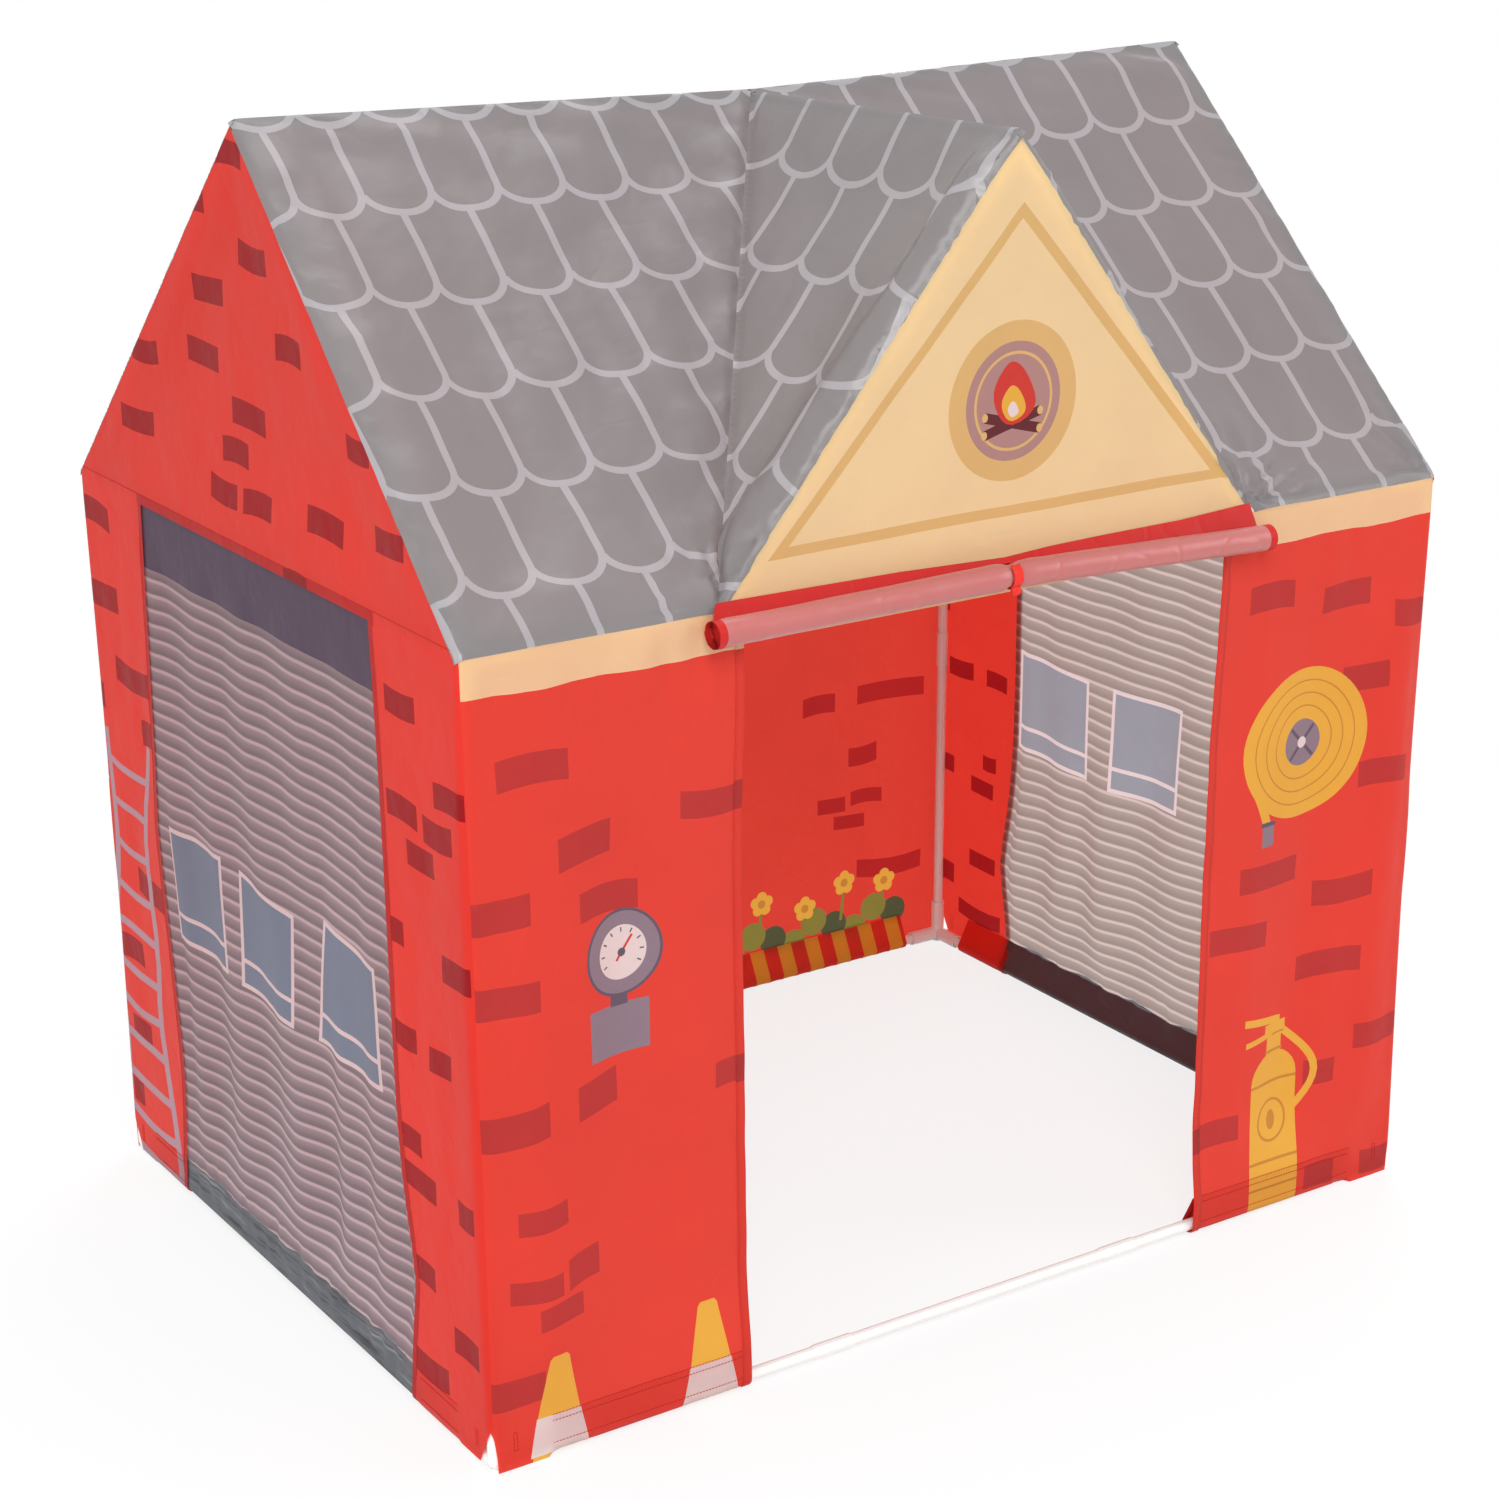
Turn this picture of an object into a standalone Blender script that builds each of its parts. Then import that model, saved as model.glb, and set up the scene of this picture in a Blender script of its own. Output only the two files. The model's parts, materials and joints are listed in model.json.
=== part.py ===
"""A child's play tent in the form of a small fire station.

A printed fabric cover hangs on a frame of white plastic poles that plug into moulded connectors.
The front doorway has a curtain, rolled up and tied. Metres, +Z up, the front faces -Y, and the
origin is at floor level in the middle of the whole, rolled curtain included.
"""
import math

import bmesh
import bpy
from mathutils import Vector

# Overall size, measured over the fabric at the floor. The poles flex, so the sides lean out a
# little at the eaves and the gables' peaks are drawn in
WIDTH = 1.200
DEPTH = 0.887
EAVE_SPREAD = 0.005
PEAK_TUCK = 0.005
EAVE = 0.836
GABLE_PEAK = 1.266
HUB_PEAK = 1.252
DORMER_PEAK = 1.260
DORMER_X = 0.006
DORMER_HALF = 0.333
DORMER_LEAN = 0.020

# Doorway and shutters
DOOR_HALF = 0.297
DOOR_TOP = 0.797
SHUTTER_HALF = 0.272
SHUTTER_TOP = 0.822
SEAM_ALLOWANCE = 0.010

# Fabric: each sheet is one closed solid, with a gap at every seam
FABRIC = 0.0010
SEAM = 0.0003
MITRE = SEAM + 1.6 * FABRIC
LAYER_GAP = 0.0004

# Poles and connectors
POLE_RADIUS = 0.0065
POLE_BORE = 0.0055
BELL_RADIUS = 0.0077
BELL_BORE = 0.0070
BELL_LENGTH = 0.050
BELL_TAPER = 0.005
SOCKET_RADIUS = 0.0090
SOCKET_BORE = 0.0070
SOCKET_REACH = 0.046
SOCKET_START = 0.014
EAVE_SOCKET_REACH = 0.056
EAVE_SOCKET_START = 0.024
TEE_SOCKET_REACH = 0.050
TEE_SOCKET_START = 0.020
BALL_RADIUS = 0.0087
POLE_GAP = 0.001
BELL_SEAT = BELL_LENGTH - BELL_TAPER - POLE_GAP
FOOT_RADIUS = 0.0086
FOOT_HEIGHT = 0.004
FLOOR_RAIL_Z = 0.0100
SIDES = 12

# Poles lie just inside the fabric, so that the sockets clear it
INSET = FABRIC + LAYER_GAP + SOCKET_RADIUS
FRAME_X = WIDTH / 2 - INSET
FRAME_Y = DEPTH / 2 - INSET
ROOF_SLOPE = (GABLE_PEAK - EAVE) / (DEPTH / 2)
ROOF_DROP = INSET * math.hypot(1, ROOF_SLOPE)
EAVE_RAIL_Z = EAVE + INSET * ROOF_SLOPE - ROOF_DROP
DORMER_SLOPE = (DORMER_PEAK - EAVE) / DORMER_HALF
DORMER_DROP = (INSET + LAYER_GAP) * math.hypot(1, DORMER_SLOPE)

# Hem tunnels along the floor, and the open slits at the foot of each corner
HEM_LIFT = 0.0008
HEM_TOP = 0.042
HEM_CORNER_GAP = 0.070
HEM_STEPS = 7
SLIT_HEIGHT = 0.080
SLIT_WIDTH = 0.004
NOTCH = 0.001

# Folds of the hanging cloth
SHUTTER_FOLD = 0.007
SHUTTER_FOLDS = 4.5
WALL_FOLD = 0.003
FOLD_ROWS = [0.27, 0.46, 0.65]
ROOF_SAG = 0.008

# Curtain over the doorway: a hanging strip, the roll and the tie that holds it
CURTAIN_X = -0.006
CURTAIN_HALF = 0.344
CURTAIN_TOP = 0.8335
CURTAIN_THICK = 0.0008
ROLL_RADIUS = 0.0165
ROLL_CORE = 0.0020
ROLL_SHEET = 0.0006
ROLL_PITCH = 0.00105
ROLL_STEPS = 16
ROLL_Z = 0.8135
TIE_X = 0.003
TIE_WIDTH = 0.012
TIE_THICK = 0.0010
TIE_STEPS = 18

# From the front wall outwards: the tie's back run, the strip, the roll and the tie's front run
TIE_Y = -DEPTH / 2 - LAYER_GAP - TIE_THICK / 2
SHEET_Y = TIE_Y - TIE_THICK / 2 - LAYER_GAP - CURTAIN_THICK / 2
ROLL_Y = SHEET_Y - CURTAIN_THICK / 2 - LAYER_GAP - ROLL_RADIUS
TIE_LOOP = ROLL_RADIUS + 2 * LAYER_GAP + TIE_THICK / 2

# The curtain stands in front of the walls, so their middle lies behind the origin
FRONT_REACH = TIE_LOOP + TIE_THICK / 2 - ROLL_Y
MIDDLE_Y = (FRONT_REACH - DEPTH / 2) / 2

# Finish: colours and roughness of the printed cloth and the plastic, and the angle that shades sharp
RED = (0.80, 0.07, 0.045, 1)
GREY = (0.30, 0.28, 0.27, 1)
CREAM = (0.86, 0.56, 0.27, 1)
SHUTTER_GREY = (0.37, 0.31, 0.33, 1)
CURTAIN_PINK = (0.62, 0.20, 0.20, 1)
WHITE = (0.86, 0.86, 0.84, 1)
CLOTH_ROUGHNESS = 0.6
PLASTIC_ROUGHNESS = 0.45
SHARP = math.radians(40)


def material(name, colour, roughness):
    """A plain finish, made once and shared."""
    found = bpy.data.materials.get(name)
    if found:
        return found
    made = bpy.data.materials.new(name)
    made.use_nodes = True
    shader = made.node_tree.nodes["Principled BSDF"]
    shader.inputs["Base Color"].default_value = colour
    shader.inputs["Roughness"].default_value = roughness
    shader.inputs["Metallic"].default_value = 0.0
    return made


def place_empty(name, location, parent=None):
    """An empty that carries other objects."""
    made = bpy.data.objects.new(name, None)
    made.location = location
    made.parent = parent
    bpy.context.scene.collection.objects.link(made)
    return made


def new_object(name, mesh, finish, parent=None):
    """Turn a bmesh into a named object with a finish and smooth shading, on the tent's middle."""
    bmesh.ops.remove_doubles(mesh, verts=mesh.verts, dist=1e-6)
    bmesh.ops.recalc_face_normals(mesh, faces=mesh.faces)
    data = bpy.data.meshes.new(name)
    mesh.to_mesh(data)
    mesh.free()
    data.materials.append(finish)
    data.shade_smooth()
    data.set_sharp_from_angle(angle=SHARP)
    made = bpy.data.objects.new(name, data)
    made.parent = parent or bpy.data.objects["tent_middle"]
    bpy.context.scene.collection.objects.link(made)
    return made


def aim(thing, start, direction):
    """Place an object modelled along +Z at a point, along a direction."""
    thing.location = start
    thing.rotation_mode = "QUATERNION"
    thing.rotation_quaternion = Vector(direction).to_track_quat("Z", "Y")


# Frame


def lathe(profile, sides=SIDES):
    """Turn a closed profile of (radius, height) points round the Z axis."""
    mesh = bmesh.new()
    rings = []
    for radius, height in profile:
        ring = []
        for step in range(sides):
            angle = 2 * math.pi * step / sides
            ring.append(mesh.verts.new((radius * math.cos(angle), radius * math.sin(angle), height)))
        rings.append(ring)
    for low, high in zip(rings, rings[1:] + rings[:1]):
        for step in range(sides):
            after = (step + 1) % sides
            mesh.faces.new((low[step], low[after], high[after], high[step]))
    return mesh


def pole(name, start, end, finish, bell=False):
    """A hollow pole from start to end; a belled end is a wider socket for the next pole."""
    start, end = Vector(start), Vector(end)
    length = (end - start).length
    profile = [(POLE_BORE, 0), (POLE_RADIUS, 0)]
    if bell:
        neck = length - BELL_LENGTH
        profile += [(POLE_RADIUS, neck), (BELL_RADIUS, neck + BELL_TAPER), (BELL_RADIUS, length)]
        profile += [(BELL_BORE, length), (BELL_BORE, neck + BELL_TAPER), (POLE_BORE, neck)]
    else:
        profile += [(POLE_RADIUS, length), (POLE_BORE, length)]
    made = new_object(name, lathe(profile), finish)
    aim(made, start, end - start)
    return made


def rod(radius, start, end, origin, direction):
    """A closed round bar along a direction, used to build and to bore the connectors."""
    mesh = bmesh.new()
    bmesh.ops.create_cone(
        mesh, cap_ends=True, segments=SIDES, radius1=radius, radius2=radius, depth=end - start
    )
    bmesh.ops.translate(mesh, verts=mesh.verts, vec=(0, 0, (start + end) / 2))
    made = new_object("bar", mesh, material("white_plastic", WHITE, PLASTIC_ROUGHNESS))
    aim(made, origin, direction)
    return made


def combine(target, tool, operation):
    """Join or cut a solid with another, which is used up."""
    change = target.modifiers.new(operation, "BOOLEAN")
    change.operation = operation
    change.object = tool
    change.solver = "EXACT"
    bpy.context.view_layer.update()
    graph = bpy.context.evaluated_depsgraph_get()
    result = bpy.data.meshes.new_from_object(target.evaluated_get(graph))
    target.modifiers.clear()
    target.data = result
    bpy.data.objects.remove(tool)


def connector(name, centre, arms, finish, start=SOCKET_START, reach=SOCKET_REACH, foot=False):
    """A moulded joint: a ball with one bored socket along each arm."""
    mesh = bmesh.new()
    bmesh.ops.create_uvsphere(mesh, u_segments=SIDES, v_segments=6, radius=BALL_RADIUS)
    made = new_object(name, mesh, finish)
    made.location = centre
    for arm in arms:
        combine(made, rod(SOCKET_RADIUS, 0, reach, centre, arm), "UNION")
    if foot:
        below = (centre[0], centre[1], 0)
        combine(made, rod(FOOT_RADIUS, 0, FOOT_HEIGHT, below, (0, 0, 1)), "UNION")
    for arm in arms:
        combine(made, rod(SOCKET_BORE, start, reach * 2, centre, arm), "DIFFERENCE")
    made.data.shade_smooth()
    made.data.set_sharp_from_angle(angle=SHARP)
    return made


def between(name, low, high, finish, start=SOCKET_START, end=SOCKET_START):
    """A plain pole between two connectors' centres, seated in their sockets."""
    low, high = Vector(low), Vector(high)
    along = (high - low).normalized()
    return pole(name, low + along * (start + POLE_GAP), high - along * (end + POLE_GAP), finish)


def pole_run(names, low, high, finish):
    """A straight run of poles, each but the last belled to take the next one's end."""
    low, high = Vector(low), Vector(high)
    along = (high - low).normalized()
    first = low + along * (SOCKET_START + POLE_GAP)
    last = high - along * (SOCKET_START + POLE_GAP)
    piece = (last - first) / len(names)
    for number, name in enumerate(names):
        begin = first + piece * number
        end = first + piece * (number + 1)
        bell = number < len(names) - 1
        if number:
            begin = begin - along * (BELL_SEAT - BELL_LENGTH / 2)
        if bell:
            end = end + along * (BELL_LENGTH / 2)
        pole(name, begin, end, finish, bell)


def build_frame():
    """Poles and connectors."""
    plastic = material("white_plastic", WHITE, PLASTIC_ROUGHNESS)
    peak_z = GABLE_PEAK - ROOF_DROP
    hub = Vector((DORMER_X, 0, HUB_PEAK - DORMER_DROP))
    corners = {}
    for end_name, side_y in (("front", -1), ("back", 1)):
        for side_name, side_x in (("left", -1), ("right", 1)):
            x, y = side_x * FRAME_X, side_y * FRAME_Y
            where = f"{end_name}_{side_name}"
            floor = Vector((x, y, FLOOR_RAIL_Z))
            eave = Vector((x + side_x * EAVE_SPREAD, y, EAVE_RAIL_Z))
            peak = Vector((x - side_x * PEAK_TUCK, 0, peak_z))
            corners[where] = (floor, eave, peak)
            inward = [Vector((-side_x, 0, 0)), Vector((0, -side_y, 0))]
            up = (eave - floor).normalized()
            rise = (peak - eave).normalized()
            # The post leans inside the clearance of the floor connector's upright socket
            floor_arms = inward + [Vector((0, 0, 1))]
            connector(f"floor_connector_{where}", floor, floor_arms, plastic, foot=True)
            eave_arms = inward + [-up, rise]
            deep_socket = EAVE_SOCKET_START, EAVE_SOCKET_REACH
            connector(f"eave_connector_{where}", eave, eave_arms, plastic, *deep_socket)
            bell_end = floor.lerp(eave, 0.5) + up * (BELL_LENGTH / 2)
            low_end = floor + up * (SOCKET_START + POLE_GAP)
            pole(f"post_{where}_lower", low_end, bell_end, plastic, bell=True)
            seated = bell_end - up * BELL_SEAT
            pole(f"post_{where}_upper", seated, eave - up * (EAVE_SOCKET_START + POLE_GAP), plastic)
            between(f"rafter_{where}", eave, peak, plastic, EAVE_SOCKET_START)
    for side_name in ("left", "right"):
        front, back = corners[f"front_{side_name}"], corners[f"back_{side_name}"]
        between(f"side_floor_rail_{side_name}", front[0], back[0], plastic)
        eave_ends = EAVE_SOCKET_START, EAVE_SOCKET_START
        between(f"side_eave_rail_{side_name}", front[1], back[1], plastic, *eave_ends)
        peak = front[2]
        to_hub = tuple((hub - peak).normalized())
        arms = [tuple((front[1] - peak).normalized()), tuple((back[1] - peak).normalized()), to_hub]
        connector(f"gable_peak_connector_{side_name}", peak, arms, plastic)
        between(f"ridge_pole_{side_name}", peak, hub, plastic)
    front_rail = [f"front_floor_rail_{place}" for place in ("left", "middle", "right")]
    pole_run(front_rail, corners["front_left"][0], corners["front_right"][0], plastic)
    back_rail = [f"back_floor_rail_{place}" for place in ("left", "right")]
    pole_run(back_rail, corners["back_left"][0], corners["back_right"][0], plastic)
    back_eaves = corners["back_left"][1], corners["back_right"][1]
    between("back_eave_rail", *back_eaves, plastic, EAVE_SOCKET_START, EAVE_SOCKET_START)
    build_dormer_frame(corners["front_left"][1], corners["front_right"][1], hub, plastic)


def build_dormer_frame(eave_left, eave_right, hub, plastic):
    """The front eave rail with its two tees, the dormer's rafters and its ridge."""
    foot_half = DORMER_HALF + (EAVE - EAVE_RAIL_Z - DORMER_DROP) / DORMER_SLOPE
    lean = DORMER_LEAN * (1 - DORMER_DROP / (DORMER_PEAK - EAVE)) - LAYER_GAP
    peak = Vector((DORMER_X, -FRAME_Y - lean, DORMER_PEAK - DORMER_DROP))
    tees = []
    for side_name, side_x in (("left", -1), ("right", 1)):
        tee = Vector((DORMER_X + side_x * foot_half, -FRAME_Y, EAVE_RAIL_Z))
        rise = (peak - tee).normalized()
        arms = [(-1, 0, 0), (1, 0, 0), tuple(rise)]
        connector(f"dormer_tee_{side_name}", tee, arms, plastic, TEE_SOCKET_START, TEE_SOCKET_REACH)
        between(f"dormer_rafter_{side_name}", tee, peak, plastic, TEE_SOCKET_START)
        tees.append(tee)
    at_eave, at_tee = EAVE_SOCKET_START, TEE_SOCKET_START
    between("front_eave_rail_left", eave_left, tees[0], plastic, at_eave, at_tee)
    between("front_eave_rail_middle", tees[0], tees[1], plastic, at_tee, at_tee)
    between("front_eave_rail_right", tees[1], eave_right, plastic, at_tee, at_eave)
    arms = [tuple((tee - peak).normalized()) for tee in tees] + [tuple((hub - peak).normalized())]
    connector("dormer_peak_connector", peak, arms, plastic)
    between("dormer_ridge_pole", peak, hub, plastic)
    peak_x = FRAME_X - PEAK_TUCK
    ends = [Vector((side * peak_x, 0, GABLE_PEAK - ROOF_DROP)) for side in (-1, 1)]
    arms = [tuple((end - hub).normalized()) for end in ends + [peak]]
    connector("ridge_hub", hub, arms, plastic)


# Fabric


def thicken(name, outer, inner, rings, finish):
    """A closed sheet: two layers of points under the same keys, joined round every free edge."""
    mesh = bmesh.new()
    used = {key for ring in rings for key in ring}
    front = {key: mesh.verts.new(outer[key]) for key in used}
    back = {key: mesh.verts.new(inner[key]) for key in used}
    edges = set()
    for ring in rings:
        mesh.faces.new([front[key] for key in ring])
        mesh.faces.new([back[key] for key in reversed(ring)])
        edges.update(zip(ring, ring[1:] + ring[:1]))
    for first, second in sorted(edges, key=str):
        if (second, first) not in edges:
            mesh.faces.new((front[second], front[first], back[first], back[second]))
    return new_object(name, mesh, finish)


def grid_rings(columns, rows, keep=lambda column, row: True):
    """The squares of a grid of points, as rings of four keys."""
    rings = []
    for column in range(columns):
        for row in range(rows):
            if keep(column, row):
                rings.append(
                    [(column, row), (column + 1, row), (column + 1, row + 1), (column, row + 1)]
                )
    return rings


def wall_frame(side):
    """Where a wall stands: its middle at floor level, its way to the right as seen from outside,
    and its way in."""
    return {
        "front": (Vector((0, -DEPTH / 2, 0)), Vector((1, 0, 0)), Vector((0, 1, 0))),
        "back": (Vector((0, DEPTH / 2, 0)), Vector((-1, 0, 0)), Vector((0, -1, 0))),
        "left": (Vector((-WIDTH / 2, 0, 0)), Vector((0, -1, 0)), Vector((1, 0, 0))),
        "right": (Vector((WIDTH / 2, 0, 0)), Vector((0, 1, 0)), Vector((-1, 0, 0))),
    }[side]


def lean_out(z):
    """How far the sides stand outside their place at the floor, at a height."""
    if z < EAVE:
        return EAVE_SPREAD * z / EAVE
    return EAVE_SPREAD - (EAVE_SPREAD + PEAK_TUCK) * (z - EAVE) / (GABLE_PEAK - EAVE)


def hem_profile(depth, thickness):
    """The hem's way round the floor pole, as (depth, height) points for one face of the cloth."""
    wide = INSET - depth - thickness
    high = FLOOR_RAIL_Z - HEM_LIFT - depth - thickness
    points = []
    for step in range(1, HEM_STEPS + 1):
        angle = math.pi * (1 + step / HEM_STEPS)
        points.append((INSET + wide * math.cos(angle), FLOOR_RAIL_Z + high * math.sin(angle)))
    end = depth + FABRIC + LAYER_GAP
    points.append((end + FABRIC - thickness, HEM_TOP))
    return points


def wall(name, side, columns, heights, finish, options):
    """A wall of cloth. columns are distances along it, and heights(u) gives its rows there, from
    the floor rail up. The options are hem (how far from the middle the hem round the pole starts
    and stops), corners (which ends meet another wall), keep (which squares exist), depth and fold.
    """
    origin, along, inward = wall_frame(side)
    base = options.get("depth", 0.0)
    fold = options.get("fold", lambda u, z: 0.0)
    keep = options.get("keep", lambda column, row: True)
    hem_start, hem_stop = options["hem"]
    corners = options.get("corners", ())
    gabled = side in ("left", "right")
    lowest, highest = columns[0], columns[-1]
    middles = [abs(low + high) / 2 for low, high in zip(columns, columns[1:])]
    hemmed = [hem_start < middle < hem_stop for middle in middles]
    layers = []
    for thickness, margin in ((0.0, SEAM), (FABRIC, MITRE)):
        points = {}

        def place(u, z, depth):
            """The point at u and z. Margins, slits and the lean move the outer edges only."""
            slit = max(0.0, 1 - z / SLIT_HEIGHT) * SLIT_WIDTH
            outward = 0.0 if gabled else lean_out(z)
            if u == lowest:
                u += margin + (slit - outward if "low" in corners else 0)
            elif u == highest:
                u -= margin + (slit - outward if "high" in corners else 0)
            if gabled:
                depth -= lean_out(z)
            return origin + along * u + Vector((0, 0, z)) + inward * depth

        for column, u in enumerate(columns):
            rows = heights(u)
            for row, z in enumerate(rows):
                if row == len(rows) - 1:
                    z -= margin
                points[column, row] = place(u, z, base + thickness + fold(u, z))
            to_left = column < len(hemmed) and hemmed[column]
            to_right = column > 0 and hemmed[column - 1]
            foot_u = u + NOTCH * (to_right - to_left)
            points["foot", column] = place(foot_u, HEM_LIFT, base + thickness)
            for step, (depth, z) in enumerate(hem_profile(base, thickness)):
                points["hem", step, column] = place(u, z, depth)
        layers.append(points)
    rows = len(heights(columns[0])) - 1
    rings = grid_rings(len(columns) - 1, rows, keep)
    for column in range(len(columns) - 1):
        if not keep(column, 0):
            continue
        edge = [(column, 0), (column + 1, 0)]
        if hemmed[column]:
            for step in range(HEM_STEPS + 1):
                below = [("hem", step, column), ("hem", step, column + 1)]
                rings.append([below[0], below[1], edge[1], edge[0]])
                edge = below
        else:
            rings.append([("foot", column), ("foot", column + 1), edge[1], edge[0]])
    return thicken(name, layers[0], layers[1], rings, finish)


def spread(low, high, count):
    """Evenly spaced values from low to high, both included."""
    return [low + (high - low) * step / count for step in range(count + 1)]


def hump(value, low, high):
    """A smooth rise and fall, zero outside low and high."""
    if not low < value < high:
        return 0.0
    return math.sin(math.pi * (value - low) / (high - low))


def build_side(side, red, grey):
    """A side wall with its gable, and the shutter of thinner cloth sewn behind its opening."""
    half = DEPTH / 2
    hem_end = half - HEM_CORNER_GAP
    overlap = SHUTTER_HALF + SEAM_ALLOWANCE
    right_half = [0, SHUTTER_HALF / 2, SHUTTER_HALF, overlap + NOTCH, hem_end, half]
    columns = [-u for u in reversed(right_half[1:])] + right_half
    low_rows = [FLOOR_RAIL_Z, SLIT_HEIGHT, *FOLD_ROWS, SHUTTER_TOP]
    opening = len(low_rows) - 1
    gable_rows = 4

    def heights(u):
        top = EAVE + (half - abs(u)) * ROOF_SLOPE
        return low_rows + spread(SHUTTER_TOP, top, gable_rows)[1:]

    def keep(column, row):
        middle = (columns[column] + columns[column + 1]) / 2
        return row >= opening or abs(middle) > SHUTTER_HALF

    def wall_fold(u, z):
        across = hump(abs(u), overlap + NOTCH, half - 0.02)
        return WALL_FOLD * across * hump(z, HEM_TOP, SHUTTER_TOP)

    options = {"hem": (overlap, hem_end), "corners": ("low", "high"), "keep": keep, "fold": wall_fold}
    wall(f"{side}_wall", side, columns, heights, red, options)

    shutter_columns = spread(-overlap, overlap, 26)
    shutter_rows = [FLOOR_RAIL_Z] + spread(HEM_TOP + 0.01, SHUTTER_TOP - 0.02, 7)
    shutter_rows += [SHUTTER_TOP + SEAM_ALLOWANCE]

    def shutter_fold(u, z):
        across = hump(u, -SHUTTER_HALF, SHUTTER_HALF) ** 0.5
        tall = hump(z, HEM_TOP, SHUTTER_TOP) ** 0.7
        turn = 2 * math.pi * SHUTTER_FOLDS * (u + SHUTTER_HALF) / (2 * SHUTTER_HALF)
        wave = 0.5 - 0.5 * math.cos(turn + 0.9 * z / SHUTTER_TOP)
        return SHUTTER_FOLD * across * tall * wave

    options = {"hem": (-1, overlap), "depth": FABRIC + LAYER_GAP, "fold": shutter_fold}
    wall(f"{side}_shutter", side, shutter_columns, lambda u: shutter_rows, grey, options)


def wall_rows():
    """Heights of the rows of points on the front and back walls."""
    return [FLOOR_RAIL_Z, SLIT_HEIGHT, *FOLD_ROWS, EAVE]


def build_ends(red):
    """The back wall and the two front walls beside the doorway."""
    half = WIDTH / 2
    hem_end = half - HEM_CORNER_GAP

    def back_fold(u, z):
        return WALL_FOLD * hump(u, -half + 0.02, half - 0.02) * hump(z, HEM_TOP, EAVE - 0.04)

    columns = [-half] + spread(-hem_end, hem_end, 8) + [half]
    options = {"hem": (-1, hem_end), "corners": ("low", "high"), "fold": back_fold}
    wall("back_wall", "back", columns, lambda u: wall_rows(), red, options)

    def front_fold(u, z):
        ripple = math.sin(math.pi * 3 * z / EAVE)
        near_door = max(0.0, 1 - (abs(u) - DOOR_HALF) / 0.15)
        bow = hump(abs(u), DOOR_HALF - 0.05, half - 0.02)
        return WALL_FOLD * hump(z, HEM_TOP, EAVE - 0.04) * (bow + 0.5 * near_door * (1 + ripple))

    left = [-half] + spread(-hem_end, -DOOR_HALF, 4)
    right = [-u for u in reversed(left)]
    options = {"hem": (DOOR_HALF, hem_end), "corners": ("low",), "fold": front_fold}
    wall("front_left_wall", "front", left, lambda u: wall_rows(), red, options)
    options = {"hem": (DOOR_HALF, hem_end), "corners": ("high",), "fold": front_fold}
    wall("front_right_wall", "front", right, lambda u: wall_rows(), red, options)


def shrink(points, normal, distance):
    """Move a polygon's edges inwards by a distance. The points run anticlockwise round normal."""
    moved = []
    for number, point in enumerate(points):
        before = normal.cross((point - points[number - 1]).normalized())
        after = normal.cross((points[(number + 1) % len(points)] - point).normalized())
        moved.append(point + (before + after) * (distance / (1 + before.dot(after))))
    return moved


def ruled(name, bottom, top, spans, rows, finish):
    """Roof cloth between a bottom line and a top line, given as points from left to right as seen
    from outside. spans is the number of columns between each pair of points."""
    outline = bottom + top[::-1]
    normal = (bottom[-1] - bottom[0]).cross(top[0] - bottom[0])
    if normal.length < 1e-9:
        normal = (top[-1] - bottom[0]).cross(top[0] - bottom[0])
    normal.normalize()
    layers = []
    for depth, margin in ((0.0, SEAM), (FABRIC, MITRE)):
        moved = shrink(outline, normal, margin)
        low = moved[: len(bottom)]
        high = moved[len(bottom):][::-1]
        if len(low) == 1:
            low = low * len(high)
        points = {}
        column = 0
        total = spans * (len(high) - 1)
        for span in range(len(high) - 1):
            for step in range(spans + (span == len(high) - 2)):
                across = step / spans
                base = low[span].lerp(low[span + 1], across)
                crest = high[span].lerp(high[span + 1], across)
                for row in range(rows + 1):
                    share = row / rows
                    bulge = hump(column / total, 0, 1) * hump(share, 0, 1)
                    inward = depth + ROOF_SAG * bulge**2
                    points[column, row] = base.lerp(crest, share) - normal * inward
                column += 1
        layers.append(points)
    return thicken(name, layers[0], layers[1], grid_rings(total, rows), finish)


def build_roof(grey):
    """The five roof sheets: the back, two at the front, and the dormer's two."""
    half_x, half_y = WIDTH / 2 + EAVE_SPREAD, DEPTH / 2
    peak_x = WIDTH / 2 - PEAK_TUCK
    gable_left = Vector((-peak_x, 0, GABLE_PEAK))
    gable_right = Vector((peak_x, 0, GABLE_PEAK))
    hub = Vector((DORMER_X, 0, HUB_PEAK))
    tip = Vector((DORMER_X, -half_y - DORMER_LEAN, DORMER_PEAK))
    foot_left = Vector((DORMER_X - DORMER_HALF, -half_y, EAVE))
    foot_right = Vector((DORMER_X + DORMER_HALF, -half_y, EAVE))
    back_left = Vector((-half_x, half_y, EAVE))
    back_right = Vector((half_x, half_y, EAVE))
    back_middle = Vector((DORMER_X, half_y, EAVE))
    front_left = Vector((-half_x, -half_y, EAVE))
    front_right = Vector((half_x, -half_y, EAVE))
    back_line = [back_right, back_middle, back_left]
    ruled("roof_back", back_line, [gable_right, hub, gable_left], 6, 7, grey)
    ruled("roof_front_left", [front_left, foot_left], [gable_left, hub], 6, 7, grey)
    ruled("roof_front_right", [foot_right, front_right], [hub, gable_right], 6, 7, grey)
    ruled("dormer_roof_left", [foot_left], [hub, tip], 5, 6, grey)
    ruled("dormer_roof_right", [foot_right], [tip, hub], 5, 6, grey)


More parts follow.
